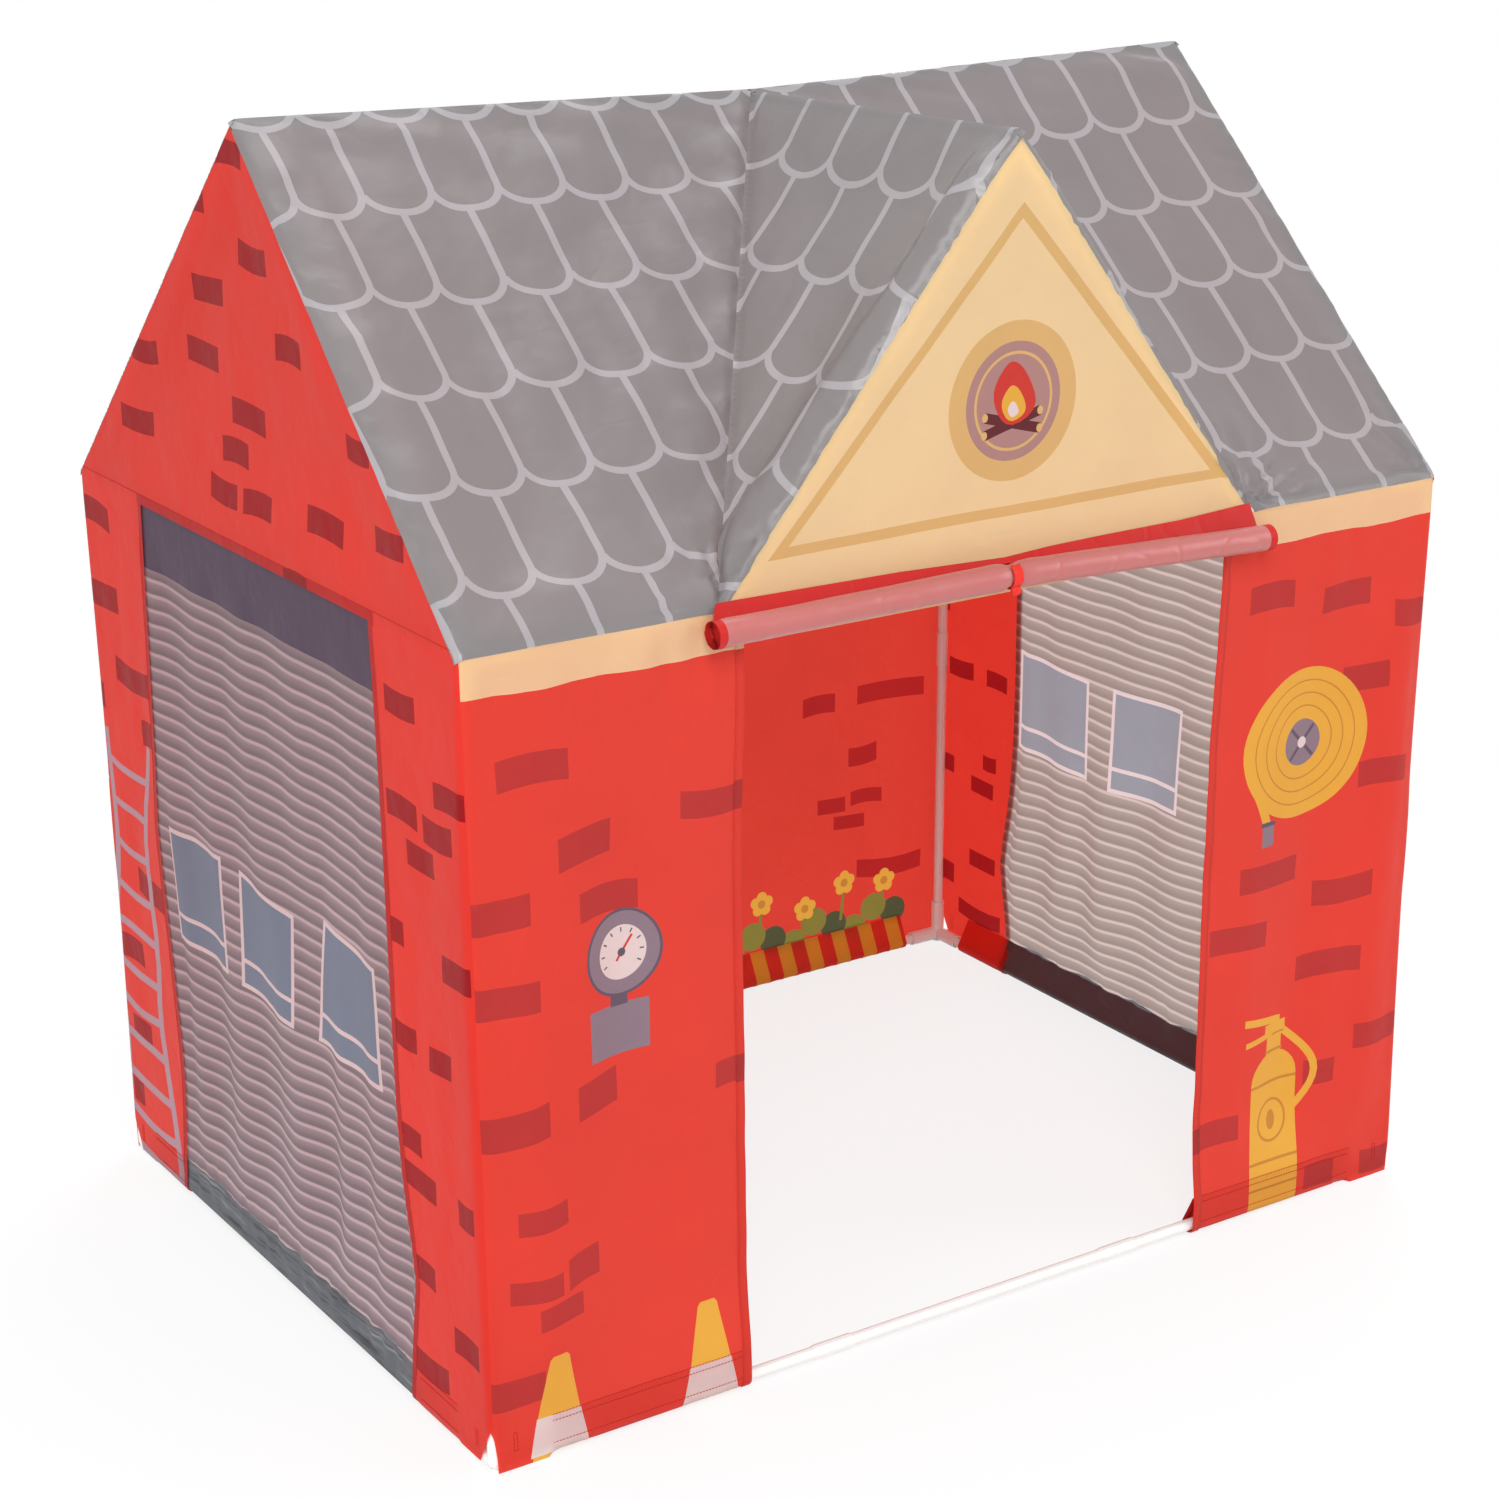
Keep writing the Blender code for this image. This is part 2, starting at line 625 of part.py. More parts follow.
def build_dormer_gable(cream):
    """The triangle over the doorway, with the strip below it that closes the top of the doorway."""
    end = DORMER_HALF - 0.006
    bound = DOOR_HALF - SEAM
    columns = [DORMER_X - end, -bound, -0.2, -0.1, DORMER_X, 0.1, 0.2, bound, DORMER_X + end]
    rise = DORMER_PEAK - EAVE
    edge = math.hypot(rise, DORMER_HALF) / DORMER_HALF
    header = 1
    rows = 5
    layers = []
    for depth, margin in ((0.0, SEAM), (FABRIC, MITRE)):
        points = {}
        for column, x in enumerate(columns):
            top = EAVE + rise * (1 - abs(x - DORMER_X) / DORMER_HALF) - margin * edge
            points[column, 0] = Vector((x, -DEPTH / 2 + depth, DOOR_TOP))
            for row in range(rows + 1):
                z = EAVE + SEAM + (top - EAVE - SEAM) * row / rows
                lean = DORMER_LEAN * (z - EAVE) / rise
                points[column, row + header] = Vector((x, -DEPTH / 2 - lean + depth, z))
        layers.append(points)

    def keep(column, row):
        return row >= header or 0 < column < len(columns) - 2

    rings = grid_rings(len(columns) - 1, rows + header, keep)
    return thicken("dormer_gable", layers[0], layers[1], rings, cream)


# Curtain


def strip(name, path, thickness, low, high, finish, parent=None):
    """A band of constant thickness along a path of (y, z) points, from low to high along X."""
    mesh = bmesh.new()
    sides = []
    for offset in (-thickness / 2, thickness / 2):
        line = []
        for number, point in enumerate(path):
            before = path[max(number - 1, 0)]
            after = path[min(number + 1, len(path) - 1)]
            run = Vector((after[0] - before[0], after[1] - before[1])).normalized()
            line.append((point[0] - run.y * offset, point[1] + run.x * offset))
        sides.append(line)
    outline = sides[0] + sides[1][::-1]
    ends = [[mesh.verts.new((x, y, z)) for y, z in outline] for x in (low, high)]
    count = len(outline)
    for number in range(count):
        after = (number + 1) % count
        mesh.faces.new((ends[0][number], ends[0][after], ends[1][after], ends[1][number]))
    half = count // 2
    for end in ends:
        for number in range(half - 1):
            pair = end[number], end[number + 1], end[count - 2 - number], end[count - 1 - number]
            mesh.faces.new(pair)
    return new_object(name, mesh, finish, parent)


def roll_path():
    """The rolled cloth seen from its end: a spiral about the roll's own middle."""
    turns = (ROLL_RADIUS - ROLL_SHEET / 2 - ROLL_CORE) / ROLL_PITCH
    count = int(turns * ROLL_STEPS)
    path = []
    for step in range(count + 1):
        turn = step / ROLL_STEPS
        radius = ROLL_CORE + ROLL_PITCH * turn
        angle = 2 * math.pi * (turn - count / ROLL_STEPS)
        path.append((radius * math.cos(angle), radius * math.sin(angle)))
    return path


def least_gap(path, thickness):
    """The least space between neighbouring turns of the roll, measured between its points."""
    least = math.inf
    for number in range(len(path) - ROLL_STEPS):
        inner = Vector(path[number])
        outer = Vector(path[number + ROLL_STEPS])
        chord = math.cos(math.pi / ROLL_STEPS)
        least = min(least, (outer - inner).length * chord - thickness)
    return least


def build_curtain(pink, red):
    """The strip that the curtain hangs by, the roll, and its tie."""
    low, high = CURTAIN_X - CURTAIN_HALF, CURTAIN_X + CURTAIN_HALF
    strip("curtain_sheet", [(SHEET_Y, CURTAIN_TOP), (SHEET_Y, ROLL_Z)], CURTAIN_THICK, low, high, pink)

    middle = bpy.data.objects["tent_middle"]
    axis = place_empty("curtain_axis", (CURTAIN_X, ROLL_Y, ROLL_Z), middle)
    path = roll_path()
    strip("curtain_roll", path, ROLL_SHEET, -CURTAIN_HALF, CURTAIN_HALF, pink, axis)
    print("least gap between the roll's turns: %.2f mm" % (least_gap(path, ROLL_SHEET) * 1000))

    loop = [(TIE_Y, CURTAIN_TOP), (TIE_Y, ROLL_Z)]
    for step in range(1, TIE_STEPS + 1):
        angle = 1.5 * math.pi * step / TIE_STEPS
        slack = max(0.0, 1 - angle / (math.pi / 2)) * (TIE_Y - ROLL_Y - TIE_LOOP)
        radius = TIE_LOOP + slack
        loop.append((ROLL_Y + radius * math.cos(angle), ROLL_Z - radius * math.sin(angle)))
    front_y = SHEET_Y - CURTAIN_THICK / 2 - LAYER_GAP - TIE_THICK / 2
    loop.append((front_y, CURTAIN_TOP + TIE_THICK))
    half = TIE_WIDTH / 2
    strip("tie_strap", loop, TIE_THICK, TIE_X - half, TIE_X + half, red)


def main():
    for thing in list(bpy.data.objects):
        bpy.data.objects.remove(thing)
    place_empty("tent_middle", (0, MIDDLE_Y, 0))
    red = material("red_cloth", RED, CLOTH_ROUGHNESS)
    grey = material("roof_cloth", GREY, CLOTH_ROUGHNESS)
    cream = material("cream_cloth", CREAM, CLOTH_ROUGHNESS)
    shutter = material("shutter_cloth", SHUTTER_GREY, CLOTH_ROUGHNESS)
    pink = material("curtain_cloth", CURTAIN_PINK, CLOTH_ROUGHNESS)
    build_frame()
    build_side("left", red, shutter)
    build_side("right", red, shutter)
    build_ends(red)
    build_roof(grey)
    build_dormer_gable(cream)
    build_curtain(pink, red)


main()
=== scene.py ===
"""Looks for the play tent shaped like a small fire station.

Every fabric panel is a single sheet of cloth. It is drawn flat, in metres, as a fine net whose edges
follow the prints, and then laid over the pole frame with its bends, hems and folds.
"""
import math

import bmesh
import bpy
from mathutils import Matrix, Vector, bvhtree, geometry, kdtree, noise
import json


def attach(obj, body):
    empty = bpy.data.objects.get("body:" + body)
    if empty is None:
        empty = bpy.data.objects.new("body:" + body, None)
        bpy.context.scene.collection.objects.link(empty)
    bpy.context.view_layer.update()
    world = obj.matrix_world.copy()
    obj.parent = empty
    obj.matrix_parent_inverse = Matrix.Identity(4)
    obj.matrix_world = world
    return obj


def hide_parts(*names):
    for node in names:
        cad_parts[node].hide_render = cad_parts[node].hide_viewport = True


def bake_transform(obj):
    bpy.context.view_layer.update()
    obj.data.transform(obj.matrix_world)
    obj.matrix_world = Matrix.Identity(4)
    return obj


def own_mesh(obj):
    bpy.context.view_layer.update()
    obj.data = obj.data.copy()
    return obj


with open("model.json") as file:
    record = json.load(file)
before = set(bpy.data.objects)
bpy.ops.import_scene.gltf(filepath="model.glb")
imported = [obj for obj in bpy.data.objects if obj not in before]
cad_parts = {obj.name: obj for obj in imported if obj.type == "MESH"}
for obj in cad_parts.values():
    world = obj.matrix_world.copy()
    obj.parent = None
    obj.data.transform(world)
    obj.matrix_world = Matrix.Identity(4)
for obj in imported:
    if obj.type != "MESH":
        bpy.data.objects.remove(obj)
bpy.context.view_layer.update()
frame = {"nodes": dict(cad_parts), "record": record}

# Sizes shared with the CAD model
MIDDLE_Y = 0.0189
HALF_X = 0.600
HALF_Y = 0.4435
FRONT_Y = MIDDLE_Y - HALF_Y
EAVE = 0.836
GABLE = 1.266
HUB = 1.252
DORMER = 1.260
DORMER_X = 0.006
DORMER_HALF = 0.333
DORMER_LEAN = 0.020
EAVE_SPREAD = 0.005
PEAK_TUCK = 0.005
DOOR_HALF = 0.297
DOOR_TOP = 0.797
INSET = 0.0104
RAIL_Z = 0.0100
HEM_CORNER = 0.070
ROLL_Y = -0.4630 + MIDDLE_Y
TIE_X = 0.003

# Sizes of the cloth alone: its depth under the CAD's outer face, the shutters' openings, the rolled
# curtain, how tightly the cloth bends over the poles, and the rows of stitches
SKIN = 0.0005
OPENING_TOP = 0.829
SHUTTER_TOP = 0.838
SHUTTER_HEAD = 0.758
SHUTTER_DEPTH = 0.0012
SHUTTER_PITCH = 0.0170
ROLL_LOW_X = -0.3465
ROLL_HIGH_X = 0.3440
ROLL_RADIUS = 0.0152
ROLL_CORE = 0.0030
ROLL_TURNS = 6.5
RIDGE_BEND = 0.0045
RAKE_BEND = 0.0085
DORMER_RIDGE_BEND = 0.0055
DORMER_RAKE_BEND = 0.0075
EAVE_BEND = 0.0080
RIM_ROWS = (0.0026, 0.0054, 0.0085, 0.0125)
SEAM_GROOVE = 0.0008
VALLEY_GROOVE = 0.0020
HEM_LINES = (0.0395, 0.0465, 0.0150)
HEM_WIDTH = 0.010
HEM_THICK = 0.0006
STITCH = 0.0024
STITCH_GAP = 0.0014
STITCH_RISE = 0.0005
STITCH_HALF = 0.00035

# How the cloth is kept off the poles: a ray starts outside it and looks a little way in
PROBE_START = 0.006
PROBE_LENGTH = 0.0075
CLEARANCE = 0.0006


def srgb(red, green, blue):
    """An 8-bit colour as linear light."""
    shares = [value / 255 for value in (red, green, blue)]
    return [s / 12.92 if s <= 0.04045 else ((s + 0.055) / 1.055) ** 2.4 for s in shares] + [1.0]


# Materials


class Nodes:
    """A short way to write the node tree of a material or of the world."""

    def __init__(self, owner):
        owner.use_nodes = True
        self.owner = owner
        self.tree = owner.node_tree
        self.shader = self.tree.nodes.get("Principled BSDF") or self.tree.nodes["Background"]
        self.output = self.tree.nodes.get("Material Output") or self.tree.nodes["World Output"]

    def feed(self, sockets, **values):
        """Give each named socket a value, or the output of another node."""
        for key, value in values.items():
            self.join(sockets[key.replace("_", " ")], value)

    def join(self, socket, value):
        if isinstance(value, bpy.types.NodeSocket):
            self.tree.links.new(value, socket)
        else:
            socket.default_value = value

    def add(self, kind, **values):
        """A node, with each value in the socket, or else the setting, of that name."""
        node = self.tree.nodes.new(kind)
        for key, value in values.items():
            if key in node.inputs:
                self.join(node.inputs[key], value)
            else:
                setattr(node, key, value)
        return node

    def math(self, operation, *values):
        node = self.add("ShaderNodeMath", operation=operation)
        for socket, value in zip(node.inputs, values):
            self.join(socket, value)
        return node.outputs[0]

    def noise(self, vector, scale, detail=2.0, rough=0.5):
        node = self.add("ShaderNodeTexNoise", Vector=vector, Scale=scale, Detail=detail, Roughness=rough)
        return node.outputs["Fac"]

    def ramp(self, value, stops):
        node = self.add("ShaderNodeValToRGB")
        self.join(node.inputs[0], value)
        points = node.color_ramp.elements
        while len(points) < len(stops):
            points.new(0.5)
        for point, (place, colour) in zip(points, stops):
            point.position = place
            point.color = colour
        return node.outputs[0]

    def tint(self, colour, tone):
        """The shader's colour, scaled by a tone."""
        shaded = self.add("ShaderNodeVectorMath", operation="SCALE", Scale=tone)
        self.join(shaded.inputs[0], colour)
        self.feed(self.shader.inputs, Base_Color=shaded.outputs[0])
        return shaded.outputs[0]

    def bump(self, height, strength, distance):
        """The shader's relief."""
        relief = self.add("ShaderNodeBump", Strength=strength, Distance=distance, Height=height)
        self.feed(self.shader.inputs, Normal=relief.outputs[0])
        return relief.outputs[0]

    def cover(self, share, first, second):
        """The surface, mixed from two shaders."""
        both = self.add("ShaderNodeMixShader")
        for socket, value in zip(both.inputs, (share, first, second)):
            self.join(socket, value)
        self.feed(self.output.inputs, Surface=both.outputs[0])


def cloth(name, colour, rough=0.40, through=0.42, sheen=0.03, satin=0.13, crease=0.18, pattern=None):
    """Thin printed polyester: a soft satin, some light through it, small creases and a weave."""
    made = Nodes(bpy.data.materials.new(name))
    place = made.add("ShaderNodeTexCoord").outputs["Object"]
    flat = made.add("ShaderNodeUVMap", uv_map="flat").outputs[0]
    cloud = made.noise(place, 7.0, 3.0)
    fibre = made.noise(flat, 1500.0, 1.0)
    tone = made.math("MULTIPLY_ADD", fibre, 0.05, made.math("MULTIPLY_ADD", cloud, 0.13, 0.910))
    shaded = made.tint(pattern(made, flat) if pattern else colour[:3], tone)
    rubbed = made.math("MULTIPLY_ADD", cloud, 0.12, rough - 0.06)
    made.feed(made.shader.inputs, Roughness=rubbed, Sheen_Weight=sheen, Sheen_Roughness=0.45)
    made.feed(made.shader.inputs, Specular_IOR_Level=satin)

    # Creases: broad soft ones, and thin sharp ones where a stretched noise crosses its middle
    fine = made.noise(place, 44.0)
    weave = made.noise(flat, 900.0, 1.0)
    folded = made.math("ABSOLUTE", made.math("SUBTRACT", made.noise(place, 9.0, 2.0, 0.6), 0.5))
    ridge = made.math("MULTIPLY", made.math("MINIMUM", folded, 0.035), 9.0 * crease)
    height = made.math("MULTIPLY_ADD", fine, 0.22, made.noise(place, 15.0))
    height = made.math("ADD", made.math("MULTIPLY_ADD", weave, 0.012, height), ridge)
    relief = made.bump(height, 0.5, 0.0060)

    thin = made.add("ShaderNodeBsdfTranslucent", Color=shaded, Normal=relief)
    made.cover(through, made.shader.outputs[0], thin.outputs[0])
    return made.owner


def plastic(name, colour, rough=0.36):
    """Smooth white plastic with faint handling marks."""
    made = Nodes(bpy.data.materials.new(name))
    place = made.add("ShaderNodeTexCoord").outputs["Object"]
    made.tint(colour[:3], made.math("MULTIPLY_ADD", made.noise(place, 14.0, 3.0), 0.05, 0.975))
    scuffs = made.noise(place, 160.0, 4.0)
    made.feed(made.shader.inputs, Roughness=made.math("MULTIPLY_ADD", scuffs, 0.16, rough - 0.08))
    made.bump(scuffs, 0.12, 0.0004)
    return made.owner


def slats(*greys):
    """The printed slats of a shutter: a pale line, a shadow above it, and the slat's own grey."""
    pale, mid, low = [srgb(*grey) for grey in greys]

    def pattern(made, flat):
        height = made.add("ShaderNodeSeparateXYZ", Vector=flat).outputs["Y"]
        raised = made.math("MULTIPLY_ADD", made.noise(flat, 7.0, 1.0), 0.009, height)
        turn = made.math("FRACT", made.math("DIVIDE", raised, SHUTTER_PITCH))
        return made.ramp(
            turn, [(0.0, pale), (0.15, pale), (0.24, low), (0.40, low), (0.93, mid), (1.0, pale)]
        )

    return pattern


def crease_shaded_band(made, flat):
    """The plain foot of the shutter, with painted shade in dark lines along its creases and painted highlight
    in pale ones.
    """
    stretched = made.add("ShaderNodeMapping", Vector=flat, Scale=(7.0, 85.0, 1.0))
    lines = made.noise(stretched.outputs[0], 1.0, 3.0, 0.6)
    # Dark: painted shade in the creases; pale: painted highlight on their crests
    dark, mid, pale = srgb(78, 80, 88), srgb(120, 124, 130), srgb(166, 171, 176)
    return made.ramp(lines, [(0.36, dark), (0.47, mid), (0.56, mid), (0.68, pale)])


PATTERNS = {
    "shutter": slats((198, 181, 187), (163, 148, 154), (133, 121, 126)),
    # Painted light: lighter slats for the right shutter, standing in for the light that comes through it from
    # outside
    "shutter_faded": slats((208, 194, 188), (174, 161, 155), (156, 144, 138)),
    "shutter_foot": crease_shaded_band,
}
FINISHES = [
    (("roof", "roof_line"), {"rough": 0.31, "through": 0.34, "satin": 0.50, "crease": 0.12}),
    (
        ("shutter", "shutter_faded", "pane", "pane_faded", "frame"),
        {"through": 0.60, "satin": 0.32, "crease": 0.2},
    ),
    (("shutter_foot", "shutter_back_shaded"), {"satin": 0.32, "crease": 0.2}),
    (("curtain_reverse",), {"rough": 0.33, "through": 0.10, "sheen": 0.20, "satin": 0.60, "crease": 0.6}),
    (("curtain_front",), {"through": 0.15, "crease": 0.6}),
    (("tie_band",), {"through": 0.06, "crease": 0.9}),
]
COLOURS = {
    "red": (230, 71, 58),
    # Painted shade: the side walls' cloth is the same red, made deeper to offset the white sheen they catch
    # at a grazing view
    "red_side_shaded": (229, 62, 50),
    # Painted shade: where the cloth really lies double, at the opening's hems, the band above it and the
    # hem's inner run, a darker red stands in for the light that two layers let through less
    "red_double_shaded": (206, 42, 38),
    "curtain_front": (198, 44, 42),
    "curtain_reverse": (187, 102, 99),
    "tie_band": (228, 52, 44),
    "brick": (191, 60, 58),
    # Painted shade: the side walls' bricks, made darker than the others to offset the white sheen on those
    # walls
    "brick_side_shaded": (162, 24, 28),
    "brick_back": (186, 42, 42),
    "cream": (243, 214, 164),
    "fascia": (238, 202, 158),
    "border": (226, 186, 122),
    "roof": (138, 134, 135),
    "roof_line": (174, 172, 176),
    "shutter": (163, 148, 154),
    # Painted light: a lighter copy of the shutter's grey for the right shutter, standing in for the light
    # that comes through it from outside
    "shutter_faded": (173, 160, 154),
    "shutter_foot": (118, 122, 128),
    # Painted shade: the shutter cloth where its hem turns up inside, darker than its face
    "shutter_back_shaded": (106, 86, 90),
    "navy": (88, 74, 92),
    "pane": (124, 137, 157),
    # Painted light: lighter panes for the right shutter, standing in for the light that comes through it from
    # outside
    "pane_faded": (150, 154, 164),
    "frame": (224, 208, 210),
    "ladder": (184, 152, 164),
    "gold": (236, 180, 72),
    "gold_line": (206, 142, 62),
    "mauve": (182, 140, 136),
    "steel": (146, 130, 142),
    "steel_dark": (108, 94, 110),
    "pale": (232, 218, 216),
    "ember": (212, 66, 58),
    "timber": (104, 50, 54),
    "leaf": (140, 136, 62),
    "leaf_dark": (84, 90, 62),
    "thread": (204, 50, 44),
    "thread_grey": (120, 116, 118),
}
materials = {}


def finish_of(slot):
    """The cloth material of a print slot, made when first asked for."""
    if slot not in materials:
        options = {"pattern": PATTERNS.get(slot)}
        for slots, values in FINISHES:
            if slot in slots:
                options.update(values)
        materials[slot] = cloth(f"{slot}_cloth", srgb(*COLOURS[slot]), **options)
    return materials[slot]


# Flat shapes, in metres


def edges(outline):
    """Each edge of a closed outline, as its start and end."""
    return zip([outline[-1], *outline[:-1]], outline)


def extent(points):
    """The least and the greatest value of each coordinate."""
    return [(min(values), max(values)) for values in zip(*points)]


def rectangle(a, b, wide, tall, tilt=0.0):
    """A rectangle by its middle."""
    half, high = wide / 2, tall / 2
    corners = ((-1, -1), (1, -1), (1, 1), (-1, 1))
    return [(a + side * half, b + end * high + side * tilt * half) for side, end in corners]


def oval(a, b, wide, tall, count=40):
    angles = [math.tau * n / count for n in range(count)]
    return [(a + wide * math.cos(angle), b + tall * math.sin(angle)) for angle in angles]


def symmetric(a, profile):
    """An outline from its right half, from the foot up, round an upright line at a."""
    left = [(a - wide, b) for wide, b in profile]
    return left[:1] + [(a + wide, b) for wide, b in profile] + left[:0:-1]


def between(start, end, share):
    """The point at a share of the way from one point to another."""
    return start[0] + (end[0] - start[0]) * share, start[1] + (end[1] - start[1]) * share


def along_curve(line, z):
    """The u of a smooth curve through (u, z) points, at a height."""
    line = line[::-1] if line[0][1] > line[-1][1] else line
    if z <= line[0][1]:
        return line[0][0]
    for number, (low, high) in enumerate(zip(line, line[1:])):
        if z <= high[1]:
            gap = high[1] - low[1]
            share = (z - low[1]) / gap
            back = 1 - share
            before = line[max(number - 1, 0)]
            beyond = line[min(number + 2, len(line) - 1)]
            slope_in = (high[0] - before[0]) / (high[1] - before[1]) * gap
            slope_out = (beyond[0] - low[0]) / (beyond[1] - low[1]) * gap
            return (
                low[0] * (1 + 2 * share) * back * back + slope_in * share * back * back
                + high[0] * (3 - 2 * share) * share * share - slope_out * share * share * back
            )
    return line[-1][0]


def heading(line, number):
    """The direction of a line of points at one of them."""
    before, after = line[max(number - 1, 0)], line[min(number + 1, len(line) - 1)]
    run_a, run_b = after[0] - before[0], after[1] - before[1]
    length = math.hypot(run_a, run_b) or 1.0
    return run_a / length, run_b / length


def ribbon(points, width):
    """A flat band along a line of points. width is one value or one for each point."""
    widths = width if isinstance(width, list) else [width] * len(points)
    left, right = [], []
    for number, (a, b) in enumerate(points):
        way_a, way_b = heading(points, number)
        off_a, off_b = -way_b * (widths[number] / 2), way_a * (widths[number] / 2)
        left.append((a + off_a, b + off_b))
        right.append((a - off_a, b - off_b))
    return right + left[::-1]


def inset(points, distances):
    """Move each edge of an anticlockwise outline inwards by its own distance."""
    lines = []
    for number, start in enumerate(points):
        end = points[(number + 1) % len(points)]
        run = Vector((end[0] - start[0], end[1] - start[1])).normalized()
        lines.append((Vector(start) + Vector((-run.y, run.x)) * distances[number], run))
    moved = []
    for (before, way), (start, run) in edges(lines):
        ends = before - way * 9, before + way * 9, start - run * 9, start + run * 9
        moved.append(tuple(geometry.intersect_line_line_2d(*ends) or start))
    return moved


def resample(points, step, closed=True):
    """The same line with no stretch longer than step."""
    out = []
    for start, end in zip(points, [*points[1:], points[0]] if closed else points[1:]):
        parts = max(1, math.ceil(math.hypot(end[0] - start[0], end[1] - start[1]) / step))
        out += [between(start, end, part / parts) for part in range(parts)]
    return out if closed else out + [points[-1]]


def turning(points):
    """The signed area of an outline: above 0 where it runs anticlockwise."""
    return sum(a0 * b1 - a1 * b0 for (a0, b0), (a1, b1) in edges(points)) / 2


def edge_distance(a, b, outline):
    """How far a point is from the nearest edge of an outline."""
    nearest = 9.0
    for (a0, b0), (a1, b1) in edges(outline):
        run_a, run_b = a1 - a0, b1 - b0
        length = run_a * run_a + run_b * run_b
        share = min(1.0, max(0.0, ((a - a0) * run_a + (b - b0) * run_b) / length)) if length else 0.0
        nearest = min(nearest, math.hypot(a - a0 - run_a * share, b - b0 - run_b * share))
    return nearest


def inside(point, outline):
    """Whether a point lies in a closed outline."""
    a, b = point
    found = False
    for (a0, b0), (a1, b1) in edges(outline):
        if (b0 > b) != (b1 > b) and a < (a1 - a0) * (b - b0) / (b1 - b0) + a0:
            found = not found
    return found


# Pieces, and sheets of cloth


def add_piece(name, data, slots=()):
    """Put a mesh into the scene, with the finishes of its print slots."""
    for slot in slots:
        data.materials.append(finish_of(slot))
    piece = bpy.data.objects.new(name, data)
    bpy.context.collection.objects.link(piece)
    return piece


def skin(name, mesh, slots=(), outward=True):
    """A piece from a bmesh."""
    if outward:
        bmesh.ops.recalc_face_normals(mesh, faces=mesh.faces)
    data = bpy.data.meshes.new(name)
    mesh.to_mesh(data)
    return add_piece(name, data, slots)


def tube(mesh, rings):
    """A closed skin over rings of points."""
    made = [[mesh.verts.new(point) for point in ring] for ring in rings]
    for low, high in zip(made, made[1:]):
        for index in range(len(low)):
            after = (index + 1) % len(low)
            mesh.faces.new((low[index], low[after], high[after], high[index]))
    mesh.faces.new(made[0][::-1])
    mesh.faces.new(made[-1])


def add_flat_maps(mesh, flats):
    """Two maps of the flat cloth: in metres for the patterns, and in the unit square."""
    (low_a, high_a), (low_b, high_b) = extent(flats)
    size = max(high_a - low_a, high_b - low_b)
    metres = mesh.uv_layers.new(name="flat")
    unit = mesh.uv_layers.new(name="OFBake")
    for corner in mesh.loops:
        a, b = flats[corner.vertex_index]
        metres.data[corner.index].uv = (a, b)
        unit.data[corner.index].uv = (0.005 + (a - low_a) / size * 0.99, 0.005 + (b - low_b) / size * 0.99)


pole_parts = [row["node"] for row in frame["record"]["subparts"] if row["material_slot"] == "white_plastic"]


def pole_tree():
    """All poles and connectors as one searchable shape."""
    points, faces = [], []
    for name in pole_parts:
        data = frame["nodes"][name].data
        start = len(points)
        points.extend(vertex.co.copy() for vertex in data.vertices)
        faces.extend([start + index for index in polygon.vertices] for polygon in data.polygons)
    return bvhtree.BVHTree.FromPolygons(points, faces)


poles = pole_tree()


def pole_rise(place, way):
    """How far the cloth has to rise at a place so that no pole comes through it."""
    hit, _, _, distance = poles.ray_cast(place + way * PROBE_START, -way, PROBE_LENGTH)
    return max(0.0, PROBE_START - distance + CLEARANCE) if hit else 0.0


def lift_off_poles(mesh):
    """Raise the cloth wherever a pole or connector would come through it, and ease the rise off
    round that place."""
    count = len(mesh.vertices)
    outward = [Vector() for _ in range(count)]
    linked = [set() for _ in range(count)]
    for polygon in mesh.polygons:
        for index, after in zip(polygon.vertices, [*polygon.vertices[1:], polygon.vertices[0]]):
            outward[index] += polygon.normal
            linked[index].add(after)
            linked[after].add(index)
    outward = [way.normalized() for way in outward]
    needed = [pole_rise(vertex.co, way) for vertex, way in zip(mesh.vertices, outward)]
    for polygon in mesh.polygons:
        rise = pole_rise(polygon.center, polygon.normal)
        for index in polygon.vertices:
            needed[index] = max(needed[index], rise)
    if max(needed) == 0.0:
        return
    rises = list(needed)
    for _ in range(6):
        rises = [
            max(need, 0.80 * sum(rises[other] for other in near) / len(near)) if near else need
            for need, near in zip(needed, linked)
        ]
    for vertex, way, rise in zip(mesh.vertices, outward, rises):
        vertex.co += way * rise


def net_points(raw, outline, printed, step, rim):
    """Staggered points inside an outline, clear of the printed points. rim adds close rows of
    points along the edges, where the cloth bends."""
    near = kdtree.KDTree(len(printed))
    for number, (a, b) in enumerate(printed):
        near.insert((a, b, 0), number)
    near.balance()
    (low_a, high_a), (low_b, high_b) = extent(outline)
    across = max(1, round((high_a - low_a) / step))
    up = max(1, round((high_b - low_b) / step))
    margin = RIM_ROWS[-1] + step * 0.4 if rim else 0.0
    points = []
    for column in range(across):
        for row in range(up):
            a = low_a + (high_a - low_a) * (column + 0.5 + 0.25 * (row % 2 * 2 - 1)) / across
            b = low_b + (high_b - low_b) * (row + 0.5) / up
            if not inside((a, b), outline) or near.find((a, b, 0))[2] < step * 0.42:
                continue
            if edge_distance(a, b, raw) > margin:
                points.append((a, b))
    for reach in RIM_ROWS if rim else ():
        for (a0, b0), (a1, b1) in edges(outline):
            length = math.hypot(a1 - a0, b1 - b0) or 1.0
            a = (a0 + a1) / 2 - (b1 - b0) / length * reach
            b = (b0 + b1) / 2 + (a1 - a0) / length * reach
            if edge_distance(a, b, raw) < reach * 0.93 or near.find((a, b, 0))[2] < reach * 0.4:
                continue
            if inside((a, b), raw):
                points.append((a, b))
    return points


